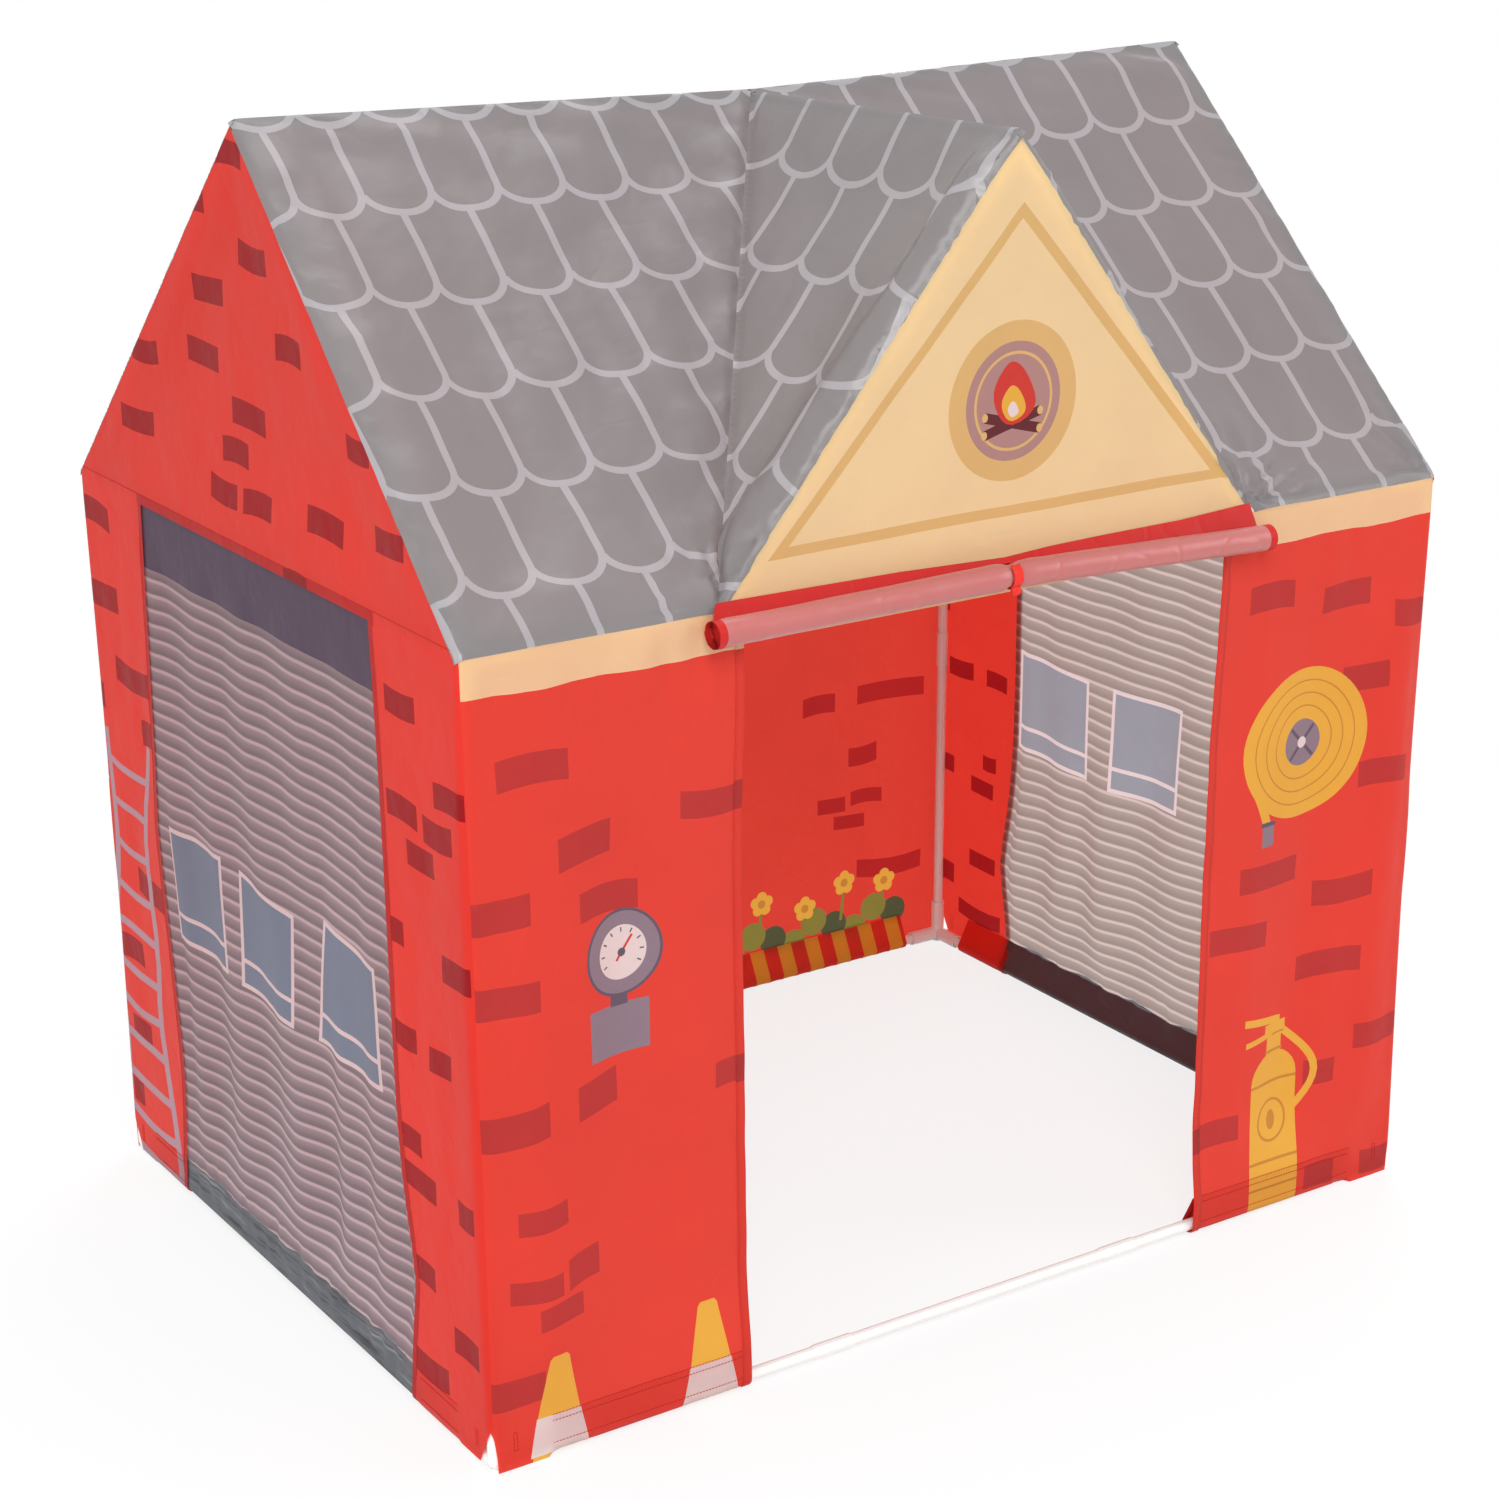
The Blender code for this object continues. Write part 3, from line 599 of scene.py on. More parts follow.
def sheet(name, outline, prints, surface, base, step=0.0085, rim=True):
    """Cloth cut to an outline, with its prints, laid over a surface. prints are (slot, outline) in
    the order they are laid on. surface(a, b) gives a point in space."""
    shapes = [resample(outline, step * 0.8)]
    for _, shape in prints:
        shape = resample(shape, step)
        shapes.append(shape if turning(shape) > 0 else shape[::-1])
    slots = [base] + [slot for slot, _ in prints]
    points, faces = [], []
    for shape in shapes:
        faces.append(list(range(len(points), len(points) + len(shape))))
        points.extend(shape)
    points += net_points(outline, shapes[0], points, step, rim)
    vectors = [Vector(point) for point in points]
    flats, _, cells, _, _, origins = geometry.delaunay_2d_cdt(vectors, [], faces, 1, 1e-7)
    names = list(dict.fromkeys(slots))
    kept, marks = [], []
    for cell, origin in zip(cells, origins):
        corners = [flats[index] for index in cell]
        area = (corners[1] - corners[0]).cross(corners[2] - corners[0])
        if 0 in origin and abs(area) >= 1e-10:
            kept.append(cell if area > 0 else cell[::-1])
            marks.append(names.index(slots[max(origin)]))
    used = sorted({index for cell in kept for index in cell})
    renumber = {index: number for number, index in enumerate(used)}
    flats = [tuple(flats[index]) for index in used]
    mesh = bpy.data.meshes.new(name)
    mesh.from_pydata([surface(*flat) for flat in flats], [], [[renumber[i] for i in cell] for cell in kept])
    made = add_piece(name, mesh, names)
    mesh.polygons.foreach_set("material_index", marks)
    add_flat_maps(mesh, flats)
    lift_off_poles(mesh)
    mesh.shade_smooth()
    return made


def facing(surface, a, b, tiny=0.0004):
    """The outward direction of a surface at a point."""
    along = surface(a + tiny, b) - surface(a - tiny, b)
    up = surface(a, b + tiny) - surface(a, b - tiny)
    return along.cross(up).normalized()


def stitching(name, lines, surface, slot):
    """Rows of short raised stitches along lines on a surface."""
    mesh = bmesh.new()
    for line in lines:
        travelled = 0.0
        for start, end in zip(line, line[1:]):
            run = Vector((end[0] - start[0], end[1] - start[1]))
            reach = run.length
            if reach < 1e-6:
                continue
            run /= reach
            while travelled < reach:
                first = Vector(start) + run * travelled
                last = first + run * min(STITCH, reach - travelled)
                travelled += STITCH + STITCH_GAP
                ends = [surface(*first), surface(*last)]
                way = ends[1] - ends[0]
                if way.length < 1e-5:
                    continue
                out = facing(surface, *first)
                side = out.cross(way.normalized()) * STITCH_HALF
                rise = out * STITCH_RISE
                section = (-side * 1.3, rise - side * 0.5, rise + side * 0.5, side * 1.3)
                tube(mesh, [[point + offset for offset in section] for point in ends])
            travelled -= reach
    return skin(name, mesh, [slot])


def binding(name, line, surface, prints, base, turn):
    """The folded hem round a free edge: a thin band over both faces. turn says on which side of
    the line the cloth lies."""
    section = [(1, 0.2), (1, 1), (0, 1), (-0.05, 0), (0, -1), (1, -1), (1, -0.2)]
    mesh = bmesh.new()
    line = resample(line, 0.006, closed=False)
    rings = []
    for number, point in enumerate(line):
        way_a, way_b = heading(line, number)
        inward = Vector((-way_b, way_a)) * turn * HEM_WIDTH
        ring = []
        for reach, side in section:
            flat = Vector(point) + inward * reach
            held = Vector(point) + inward * max(reach, 0.0)
            spot = surface(*held) + facing(surface, *held) * HEM_THICK * side
            if reach < 0:
                spot += surface(*flat) - surface(*held)
            ring.append((mesh.verts.new(spot), flat))
        rings.append(ring)
    names = list(dict.fromkeys([base] + [slot for slot, _ in prints]))
    for low, high in zip(rings, rings[1:]):
        for index in range(len(section) - 1):
            corners = (low[index], high[index], high[index + 1], low[index + 1])
            face = mesh.faces.new([vertex for vertex, _ in corners])
            middle = (low[index][1] + high[index + 1][1]) / 2
            slot = base
            for print_slot, shape in prints:
                if inside(middle, shape):
                    slot = print_slot
            face.material_index = names.index(slot)
            face.smooth = True
    made = skin(name, mesh, names)
    made.data.uv_layers.new(name="flat")
    return made


def hump(value, low, high):
    """A smooth rise and fall, zero outside low and high."""
    return math.sin(math.pi * (value - low) / (high - low)) if low < value < high else 0.0


def ease(value, low, high):
    """From 0 at low to 1 at high, smoothly."""
    share = min(1.0, max(0.0, (value - low) / (high - low)))
    return share * share * (3 - 2 * share)


def bell(value, middle, width):
    """1 at the middle, and near 0 more than two widths away."""
    return math.exp(-(((value - middle) / width) ** 2))


def ruffle(a, b, long_a, long_b, seed):
    """Smooth unevenness, in -1..1, with its own length each way."""
    return noise.noise(Vector((a / long_a, b / long_b, seed)))


# Walls


def lean_out(z):
    """How far the sides stand outside their place at the floor."""
    if z < EAVE:
        return EAVE_SPREAD * max(0.0, z) / EAVE
    return EAVE_SPREAD - (EAVE_SPREAD + PEAK_TUCK) * (z - EAVE) / (GABLE - EAVE)


# Each wall's foot in its middle, its way along as seen from outside, its way inwards, and half its width
WALLS = {
    "front": (Vector((0, FRONT_Y, 0)), Vector((1, 0, 0)), Vector((0, 1, 0)), HALF_X),
    "back": (Vector((0, MIDDLE_Y + HALF_Y, 0)), Vector((-1, 0, 0)), Vector((0, -1, 0)), HALF_X),
    "left": (Vector((-HALF_X, MIDDLE_Y, 0)), Vector((0, -1, 0)), Vector((1, 0, 0)), HALF_Y),
    "right": (Vector((HALF_X, MIDDLE_Y, 0)), Vector((0, 1, 0)), Vector((-1, 0, 0)), HALF_Y),
}
SLOPE_ANGLE = math.atan2(GABLE - EAVE, HALF_Y)
ROOF_SLOPE = (GABLE - EAVE) / HALF_Y
ROOF_LENGTH = math.hypot(GABLE - EAVE, HALF_Y)
RAKE_LENGTH = math.hypot(1, ROOF_SLOPE)
EAVE_TURN = math.pi / 2 - SLOPE_ANGLE
WALL_TOP = EAVE - EAVE_BEND * math.tan(EAVE_TURN / 2)
RAKE_SHARE = math.radians(15)
HEM_WIDE = INSET - SKIN
HEM_HIGH = RAIL_Z - 0.0013
HEM_ARC = math.pi * math.sqrt((HEM_WIDE**2 + HEM_HIGH**2) / 2)
HEM_TOP = 0.046
HEM_INNER = 0.0022
HEM_RUN = math.hypot(HEM_TOP - RAIL_Z, INSET + HEM_WIDE - HEM_INNER)
HEM_FOOT = RAIL_Z - HEM_ARC - HEM_RUN
# The hem's inner run is printed darker than the cloth's face: painted shade
HEM_BACK = [
    (-0.7, HEM_FOOT - 0.01), (0.7, HEM_FOOT - 0.01), (0.7, RAIL_Z - HEM_ARC), (-0.7, RAIL_Z - HEM_ARC),
]


def corner_radius(z):
    """The cloth lies looser round the corner posts at half height than at their ends."""
    loose = 0.0090 + 0.0085 * hump(z, 0.06, 0.80)
    coupler = ease(z, 0.34, 0.385) * (1 - ease(z, 0.45, 0.50))
    return loose + (min(loose, 0.0148) - loose) * coupler


def corner_edge(half, z):
    """Where a wall's cloth meets its neighbour's, measured from the wall's middle."""
    return half - corner_radius(z) * (1 - math.pi / 4)


def edge_points(half, low, high, count=16):
    """The corner edge of a wall's outline, from low to high."""
    heights = [low + (high - low) * n / count for n in range(count + 1)]
    return [(corner_edge(half, z), z) for z in heights]


def wall_surface(side, fold, base=SKIN, hem=(0.0, 9.0)):
    """The way a wall's flat cloth hangs. fold(u, z) is its depth inwards. Below the floor rail the
    cloth goes on round it and up again on the inside."""
    origin, along, inward, half = WALLS[side]
    gabled = side in ("left", "right")
    drop = base - SKIN

    def surface(u, z):
        depth = base
        spent = RAIL_Z - z
        if spent <= 0 or not hem[0] <= abs(u) <= hem[1]:
            depth += fold(u, z)
        elif spent < HEM_ARC:
            angle = math.pi * (1 + spent / HEM_ARC)
            depth = INSET + (HEM_WIDE - drop) * math.cos(angle)
            z = RAIL_Z + (HEM_HIGH - drop) * math.sin(angle)
        else:
            share = min(1.2, (spent - HEM_ARC) / HEM_RUN)
            depth = INSET + HEM_WIDE - drop + (HEM_INNER + drop - INSET - HEM_WIDE) * share
            z = RAIL_Z + (HEM_TOP - RAIL_Z) * share
            depth += fold(u, z) * share
        radius = corner_radius(min(z, 0.80))
        if not gabled:
            u *= 1 + lean_out(z) / HALF_X
        edge = half + (0.0 if gabled else lean_out(z))
        over = abs(u) - (edge - radius)
        if over > 0 and z <= EAVE + 0.010:
            angle = min(over / radius, math.pi / 3)
            full = 1 - ease(z, EAVE - 0.002, EAVE + 0.010)
            slid = math.copysign(edge - radius + radius * math.sin(angle), u)
            u += (slid - u) * full
            depth += radius * (1 - math.cos(angle)) * full
            groove = 1 - (radius * math.pi / 4 - over) / RIM_ROWS[0]
            depth += SEAM_GROOVE * max(0.0, min(1.0, groove)) * full
        if gabled:
            depth -= lean_out(z)
        return origin + along * u + Vector((0, 0, z)) + inward * depth

    return surface


# Artwork


def bricks(places, tall=0.030, slot="brick"):
    """Printed bricks, from (u, z, width) and, where they differ, height and tilt."""
    shapes = []
    for number, (u, z, wide, *rest) in enumerate(places):
        high = rest[0] if rest else tall
        tilt = rest[1] if len(rest) > 1 else 0.05 * math.sin(number * 2.4)
        bow = 0.05 * wide * math.sin(number * 1.7 + 1.0)
        low_side, high_side = [], []
        for share in (-1, -0.5, 0, 0.5, 1):
            lift = tilt * share * wide / 2 + bow * (1 - share * share)
            low_side.append((u + share * wide / 2, z - high / 2 + lift))
            high_side.append((u + share * wide / 2, z + high / 2 + lift))
        shapes.append((slot, low_side + high_side[::-1]))
    return shapes


def cone(u):
    """A traffic cone that stands on the hem."""
    body = [(0.036, -0.03), (0.031, 0.004), (0.0235, 0.047), (0.0115, 0.110), (0.008, 0.114)]
    band = [(0.0335, 0.005), (0.0245, 0.046)]
    return [("gold", symmetric(u, body)), ("pale", symmetric(u, band))]


def ladder():
    """Two rails and their rungs, drawn a little unevenly."""
    outer = [(-0.424, 0.537), (-0.420, 0.40), (-0.445, 0.26), (-0.437, 0.15), (-0.450, 0.0), (-0.452, -0.045)]
    inner = [
        (-0.310, 0.542), (-0.338, 0.42), (-0.328, 0.28), (-0.333, 0.20), (-0.305, 0.05), (-0.300, -0.045),
    ]
    shapes = []
    for line in (outer, inner):
        heights = [line[0][1] + (line[-1][1] - line[0][1]) * n / 24 for n in range(25)]
        widths = [0.0095 + 0.0065 * (1 - z / 0.54) for z in heights]
        shapes.append(("ladder", ribbon([(along_curve(line, z), z) for z in heights], widths)))
    for number, z in enumerate((0.502, 0.452, 0.403, 0.350, 0.302, 0.250, 0.205, 0.160, 0.108, 0.062, 0.015)):
        start, end = along_curve(outer, z), along_curve(inner, z - 0.006)
        bow = 0.004 * math.sin(number * 1.9) - 0.004
        line = []
        for n in range(7):
            share = n / 6
            line.append((start + (end - start) * share, z - 0.006 * share + bow * math.sin(math.pi * share)))
        shapes.append(("ladder", ribbon(line, 0.0085 + 0.003 * (1 - z / 0.54))))
    return shapes


def gauge(u, z):
    """A round pressure gauge on a pipe and a mounting plate."""
    shapes = [
        ("steel", rectangle(u - 0.006, z - 0.078, 0.070, 0.052)),
        ("steel_dark", rectangle(u - 0.004, z - 0.047, 0.020, 0.014)),
        ("steel_dark", oval(u, z, 0.0435, 0.0450, 48)),
        ("steel", oval(u, z, 0.0405, 0.0420, 48)),
        ("pale", oval(u, z, 0.0270, 0.0280)),
    ]
    for tick in range(9):
        angle = math.radians(-30 + 30 * tick)
        out_a, out_b = math.cos(angle), math.sin(angle)
        line = [(u + out_a * 0.020, z + out_b * 0.021), (u + out_a * 0.0245, z + out_b * 0.0255)]
        shapes.append(("steel_dark", ribbon(line, 0.0016)))
    shapes.append(("ember", ribbon([(u - 0.006, z - 0.008), (u + 0.012, z + 0.016)], 0.0026)))
    shapes.append(("steel_dark", oval(u, z, 0.0045, 0.0045, 16)))
    return shapes


def hose_reel(u, z):
    """A hose wound on a flat reel, seen from the front."""
    shapes = [("gold", oval(u, z, 0.0880, 0.0860, 64))]
    for radius in (0.073, 0.058, 0.043):
        shapes.append(("gold_line", oval(u, z, radius, radius * 0.98, 56)))
        shapes.append(("gold", oval(u, z, radius - 0.0016, radius * 0.98 - 0.0016, 56)))
    shapes.append(("steel", oval(u, z, 0.027, 0.0265)))
    for spoke in range(4):
        angle = math.radians(45 + 90 * spoke)
        line = [(u, z), (u + 0.025 * math.cos(angle), z + 0.025 * math.sin(angle))]
        shapes.append(("steel_dark", ribbon(line, 0.004)))
    shapes.append(("pale", oval(u, z, 0.0065, 0.0065, 20)))
    tail = [(u - 0.070 + 0.004 * n, z - 0.040 - 0.007 * n - 0.0004 * n * n) for n in range(6)]
    end_a, end_b = tail[-1]
    return shapes + [
        ("gold", ribbon(tail, 0.012)),
        ("steel", rectangle(end_a + 0.002, end_b - 0.012, 0.018, 0.026)),
        ("steel_dark", rectangle(end_a + 0.002, end_b + 0.001, 0.022, 0.005)),
    ]


def extinguisher(u, foot):
    """A hand fire extinguisher standing on the hem."""
    body = [(u - 0.036, foot - 0.03), (u + 0.036, foot - 0.03), (u + 0.036, foot + 0.150)]
    for n in range(1, 12):
        angle = math.pi * n / 12
        body.append((u + 0.036 * math.cos(angle), foot + (0.150 + 0.034 * math.sin(angle))))
    body.append((u - 0.036, foot + 0.150))
    hose = [
        (u + 0.012 + 0.046 * math.sin(math.pi * n / 14), foot + (0.208 - 0.118 * n / 14)) for n in range(15)
    ]
    return [
        ("gold", ribbon(hose, 0.009)),
        ("gold", body),
        ("gold", rectangle(u, foot + 0.195, 0.026, 0.026)),
        ("gold_line", rectangle(u, foot + 0.1845, 0.030, 0.0035)),
        ("gold", rectangle(u, foot + 0.212, 0.036, 0.014)),
        ("gold_line", rectangle(u, foot + 0.2045, 0.034, 0.0022)),
        ("gold", rectangle(u - 0.022, foot + 0.226, 0.062, 0.009, -0.16)),
        ("gold", rectangle(u - 0.026, foot + 0.205, 0.046, 0.007, 0.10)),
        ("gold_line", rectangle(u, foot + 0.146, 0.072, 0.0035)),
        ("gold_line", rectangle(u, foot + 0.052, 0.072, 0.0035)),
        ("gold_line", oval(u, foot + 0.099, 0.0235, 0.0260, 36)),
        ("gold", oval(u, foot + 0.099, 0.0205, 0.0230, 36)),
        ("gold_line", oval(u, foot + 0.099, 0.0070, 0.0120, 20)),
        ("gold_line", rectangle(u, foot + 0.020, 0.072, 0.0030)),
    ]


def flame(u, size, low):
    points = []
    for n in range(24):
        angle = math.tau * n / 24
        tall = 0.5 - 0.5 * math.cos(angle)
        wide = math.sin(angle) * (1 - 0.55 * tall) * (1 + 0.10 * math.sin(3 * angle))
        bend = size * 0.05 * math.sin(5 * tall)
        points.append((u + size * 0.52 * wide + bend, low + size * tall**0.85))
    return points


def badge(u, z):
    """A round badge with a small log fire."""
    shapes = [
        ("border", oval(u, z, 0.0785, 0.0805, 64)),
        ("mauve", oval(u, z, 0.0580, 0.0600, 56)),
        ("border", oval(u, z, 0.0480, 0.0500, 56)),
        ("mauve", oval(u, z, 0.0450, 0.0470, 56)),
    ]
    for turn in (-1, 1):
        log = [(u - 0.034, z - 0.022 - turn * 0.009), (u + 0.034, z - 0.022 + turn * 0.009)]
        shapes.append(("timber", ribbon(log, 0.0105)))
        shapes += [("border", oval(*end, 0.0036, 0.0044, 14)) for end in log]
    return shapes + [
        ("ember", flame(u, 0.064, z - 0.024)),
        ("gold", flame(u, 0.036, z - 0.020)),
        ("pale", flame(u, 0.016, z - 0.016)),
    ]


def flower_box(low_u, high_u):
    """Round blooms and bushes above a striped planter, along the foot of a wall."""
    shapes = []
    count = round((high_u - low_u) / 0.033)
    for number in range(count):
        tall = 0.056 + 0.014 * math.sin(number * 2.1)
        bush = oval(low_u + 0.033 * (number + 0.5), tall, 0.021, 0.020, 20)
        shapes.append(("leaf_dark" if number % 3 == 0 else "leaf", bush))
    for number in range(count // 2):
        u = low_u + 0.066 * (number + 0.5) + 0.006 * math.sin(number * 3)
        z = 0.104 + 0.014 * math.sin(number * 2.3)
        shapes.append(("leaf", ribbon([(u + 0.004, 0.06), (u, z)], 0.005)))
        for petal in range(5):
            angle = math.radians(72 * petal + 18)
            middle = (u + 0.010 * math.cos(angle), z + 0.010 * math.sin(angle))
            shapes.append(("gold", oval(*middle, 0.008, 0.008, 14)))
        shapes.append(("gold_line", oval(u, z, 0.006, 0.006, 14)))
    for number in range(round((high_u - low_u) / 0.044)):
        middle = low_u + 0.044 * (number + 0.5)
        shapes.append(("gold", symmetric(middle, [(0.011, HEM_FOOT), (0.011, 0.040)])))
    return shapes


def shingles(low_a, high_a, foot, phase, pitch=0.0740, drop=0.109, first=0.095):
    """Rows of round-ended shingles as their outlines. Each is one line: down its right side,
    round its lower end and up to the line on its left. b falls from 0 at the ridge."""
    line, lean, deep = 0.0078, 0.004, 0.028
    shapes = []
    row = 0
    level = drop - first
    while level > foot - drop:
        shift = phase + (pitch / 2 if row % 2 else 0.0)
        for column in range(math.floor((low_a - shift) / pitch) - 1, math.ceil((high_a - shift) / pitch) + 1):
            a = shift + column * pitch
            foot_b = level - deep - 0.003 * noise.noise(Vector((a * 9, row * 1.7, 3.0)))
            end_a = a + pitch + 0.003 * noise.noise(Vector((a * 11, row * 2.3, 9.0)))
            middle = a + pitch * 0.53
            round_b = level - foot_b
            points = [(end_a - lean, level + drop - deep * 0.9), (end_a - lean * 0.3, level + drop * 0.42)]
            for n in range(9):
                angle = math.pi / 2 * n / 8
                spot = (middle + (end_a - middle) * math.cos(angle), level - round_b * math.sin(angle))
                points.append(spot)
            for n in range(1, 9):
                angle = math.radians(80) * n / 8
                spot = (middle + (a - middle) * math.sin(angle) / 0.985, level - round_b * math.cos(angle))
                points.append(spot)
            shapes.append(("roof_line", ribbon(points, line)))
        level -= drop
        row += 1
    return shapes


def clip_to(shapes, outline, margin=0.004):
    """Only the shapes that reach into an outline."""
    (low_a, high_a), (low_b, high_b) = extent(outline)
    return [
        (slot, shape) for slot, shape in shapes
        if any(
            low_a - margin < a < high_a + margin and low_b - margin < b < high_b + margin
            for a, b in shape
        )
    ]


def dress(piece, node, outline, extras=()):
    """Ride and replace a sheet with its trimmings."""
    for each in [piece, *extras]:
        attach(each, "tent")
    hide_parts(node)
    area = abs(turning(outline))


def tack(u):
    """Two short rows of stitches across a hem."""
    return [[(u + du, 0.020), (u + du, 0.040)] for du in (-0.002, 0.002)]


# Front walls


def front_fold(u, z):
    """The front walls hang loose: a crest beside the corner post, a hollow towards the door, and
    small puckers under the eave and beside the corner seam."""
    out = abs(u)
    tall = ease(z, 0.03, 0.14) * (1 - ease(z, 0.58, 0.76))
    drift = 0.018 * math.sin(3.2 * z + (0.6 if u < 0 else 2.0))
    crest = bell(out + drift, 0.548, 0.030)
    hollow = bell(out + drift, 0.440, 0.050)
    free = 1 - ease(out, DOOR_HALF, 0.42)
    depth = tall * (-0.0075 * crest + 0.0125 * hollow + 0.0065 * free)
    still = ease(HALF_X - 0.004 - out, 0.0, 0.03)
    top = 1 - ease(z, 0.800, 0.834)
    fine = 0.0020 * ruffle(u, z, 0.045, 0.20, 3.0) + 0.0014 * ruffle(u, z, 0.10, 0.05, 8.0)
    fine += 0.0034 * ruffle(u, z, 0.055, 0.42, 11.0) * tall
    gather = 0.0026 * ruffle(u, z, 0.022, 0.14, 5.0) * ease(z, 0.62, 0.79) * top
    pull = 0.0011 * ruffle(u, z, 0.10, 0.024, 6.0) * ease(out, 0.50, 0.57)
    return depth * still + (fine * ease(z, 0.0, 0.05) * top + gather + pull) * still


def build_front(side, turn, places, artwork):
    """A front wall beside the doorway. turn is -1 on the left and 1 on the right."""
    stop = HALF_X - HEM_CORNER
    surface = wall_surface("front", front_fold, hem=(DOOR_HALF - 0.001, stop + 0.001))
    outline = [(DOOR_HALF, HEM_FOOT), (stop, HEM_FOOT), (stop, 0.0008)]
    outline += [(0.5925, 0.0008), (0.5932, 0.018), (0.5955, 0.036)]
    outline += edge_points(HALF_X, 0.050, WALL_TOP) + [(DOOR_HALF, WALL_TOP)]
    outline = [(turn * u, z) for u, z in outline][::turn]
    fascia = [(turn * 0.29, 0.85), (turn * 0.62, 0.85)]
    fascia += [(turn * (0.62 - 0.33 * n / 12), 0.7925 + 0.0014 * math.sin(n * 1.3)) for n in range(13)]
    prints = bricks(places) + artwork + [("fascia", fascia), ("red_double_shaded", HEM_BACK)]
    name = f"front_{side}"
    piece = sheet(f"{name}_cloth", outline, prints, surface, "red")
    edge = [(turn * DOOR_HALF, HEM_FOOT + 0.001), (turn * DOOR_HALF, EAVE - 0.001)]
    hem = binding(f"{name}_door_hem", edge, surface, prints, "red", turn=-turn)
    seams = [[(turn * (DOOR_HALF + 0.0085), 0.002), (turn * (DOOR_HALF + 0.0085), 0.834)]]
    seams += [[(turn * DOOR_HALF, level), (turn * stop, level)] for level in HEM_LINES]
    knot = turn * 0.572
    seams += tack(knot) + [[(knot - 0.002, z), (knot + 0.002, z)] for z in (0.020, 0.040)]
    thread = stitching(f"{name}_stitching", seams, surface, "thread")
    dress(piece, f"{name}_wall", outline, [hem, thread])


LEFT_BRICKS = [
    (-0.527, 0.715, 0.076, 0.030), (-0.473, 0.630, 0.060, 0.034, 0.14), (-0.333, 0.647, 0.070, 0.028),
    (-0.570, 0.582, 0.066, 0.033), (-0.446, 0.567, 0.068, 0.030), (-0.567, 0.495, 0.075, 0.032),
    (-0.562, 0.365, 0.075, 0.036), (-0.465, 0.373, 0.048, 0.036, 0.18), (-0.315, 0.358, 0.034, 0.028),
    (-0.534, 0.263, 0.055, 0.025), (-0.544, 0.190, 0.057, 0.025), (-0.489, 0.197, 0.038, 0.033, 0.20),
    (-0.517, 0.157, 0.052, 0.024, 0.08), (-0.573, 0.085, 0.068, 0.032),
]
RIGHT_BRICKS = [
    (0.370, 0.733, 0.062), (0.478, 0.718, 0.068), (0.577, 0.687, 0.060), (0.513, 0.620, 0.058),
    (0.545, 0.505, 0.065), (0.390, 0.412, 0.090), (0.498, 0.375, 0.075), (0.350, 0.345, 0.080),
    (0.486, 0.285, 0.082), (0.563, 0.190, 0.078), (0.480, 0.155, 0.040), (0.330, 0.115, 0.060),
    (0.485, 0.025, 0.045), (0.572, 0.022, 0.045),
]
build_front("left", -1, LEFT_BRICKS, gauge(-0.431, 0.510) + cone(-0.523) + cone(-0.346))
build_front("right", 1, RIGHT_BRICKS, hose_reel(0.432, 0.557) + extinguisher(0.415, 0.010))


# Side walls and their shutters


def below_rake(u, z):
    """How far a point of the gable is below the roof's edge, square to it."""
    return (EAVE + (HALF_Y - abs(u)) * ROOF_SLOPE - z) / RAKE_LENGTH


def side_fold(u, z):
    """The legs beside the opening bow in, with creases; the gable sags and puckers at its edges."""
    out = abs(u)
    below = below_rake(u, z)
    body = hump(out, 0.274, HALF_Y - 0.012) * hump(z, 0.045, OPENING_TOP)
    upper = ease(z, EAVE, EAVE + 0.10) * ease(below, 0.008, 0.09)
    leg = body * (0.0028 + 0.0030 * ruffle(u, z, 0.042, 0.15, 5.0) + 0.0014 * ruffle(u, z, 0.08, 0.030, 7.0))
    pucker = 0.0012 * ruffle(out + 0.6 * z, below, 0.030, 0.06, 14.0) * ease(z, EAVE, EAVE + 0.04)
    pucker *= ease(below, 0.006, 0.02) * (1 - ease(below, 0.03, 0.09))
    return leg + upper * (0.0045 + 0.0042 * ruffle(u, z, 0.11, 0.16, 9.0)) + pucker


OPENING_EDGE = {
    -1: [
        (0.290, 0.0), (0.282, 0.05), (0.270, 0.15), (0.275, 0.25), (0.285, 0.35), (0.295, 0.47),
        (0.288, 0.52), (0.277, 0.70), (0.270, OPENING_TOP),
    ],
    1: [
        (0.273, 0.0), (0.285, 0.09), (0.295, 0.15), (0.282, 0.23), (0.275, 0.30), (0.273, 0.40),
        (0.273, 0.65), (0.268, OPENING_TOP),
    ],
}


def opening_edge(end, wider=0.0):
    """The wavy edge of the side opening, from the hem up to its top corner."""
    heights = [HEM_FOOT] + [OPENING_TOP * n / 22 for n in range(23)]
    return [(end * along_curve(OPENING_EDGE[end], z) + end * wider, z) for z in heights]


def gable_outline():
    """The whole side: two legs beside the shutter, and the gable above it."""
    give = RAKE_BEND * (1 - RAKE_SHARE) * RAKE_LENGTH
    edge = corner_edge(HALF_Y, 0.8)
    stop = HALF_Y - HEM_CORNER
    corner = [(stop, HEM_FOOT), (stop, 0.0060), (0.4190, 0.0060), (0.4240, 0.018), (0.4345, 0.036)]
    corner += edge_points(HALF_Y, 0.050, 0.80) + [(edge, EAVE + (HALF_Y - edge) * ROOF_SLOPE - give)]
    mirrored = [(-u, z) for u, z in reversed(corner)]
    inner = opening_edge(1)
    return inner[:1] + corner + [(0.0, GABLE - give)] + mirrored + opening_edge(-1) + inner[:0:-1]


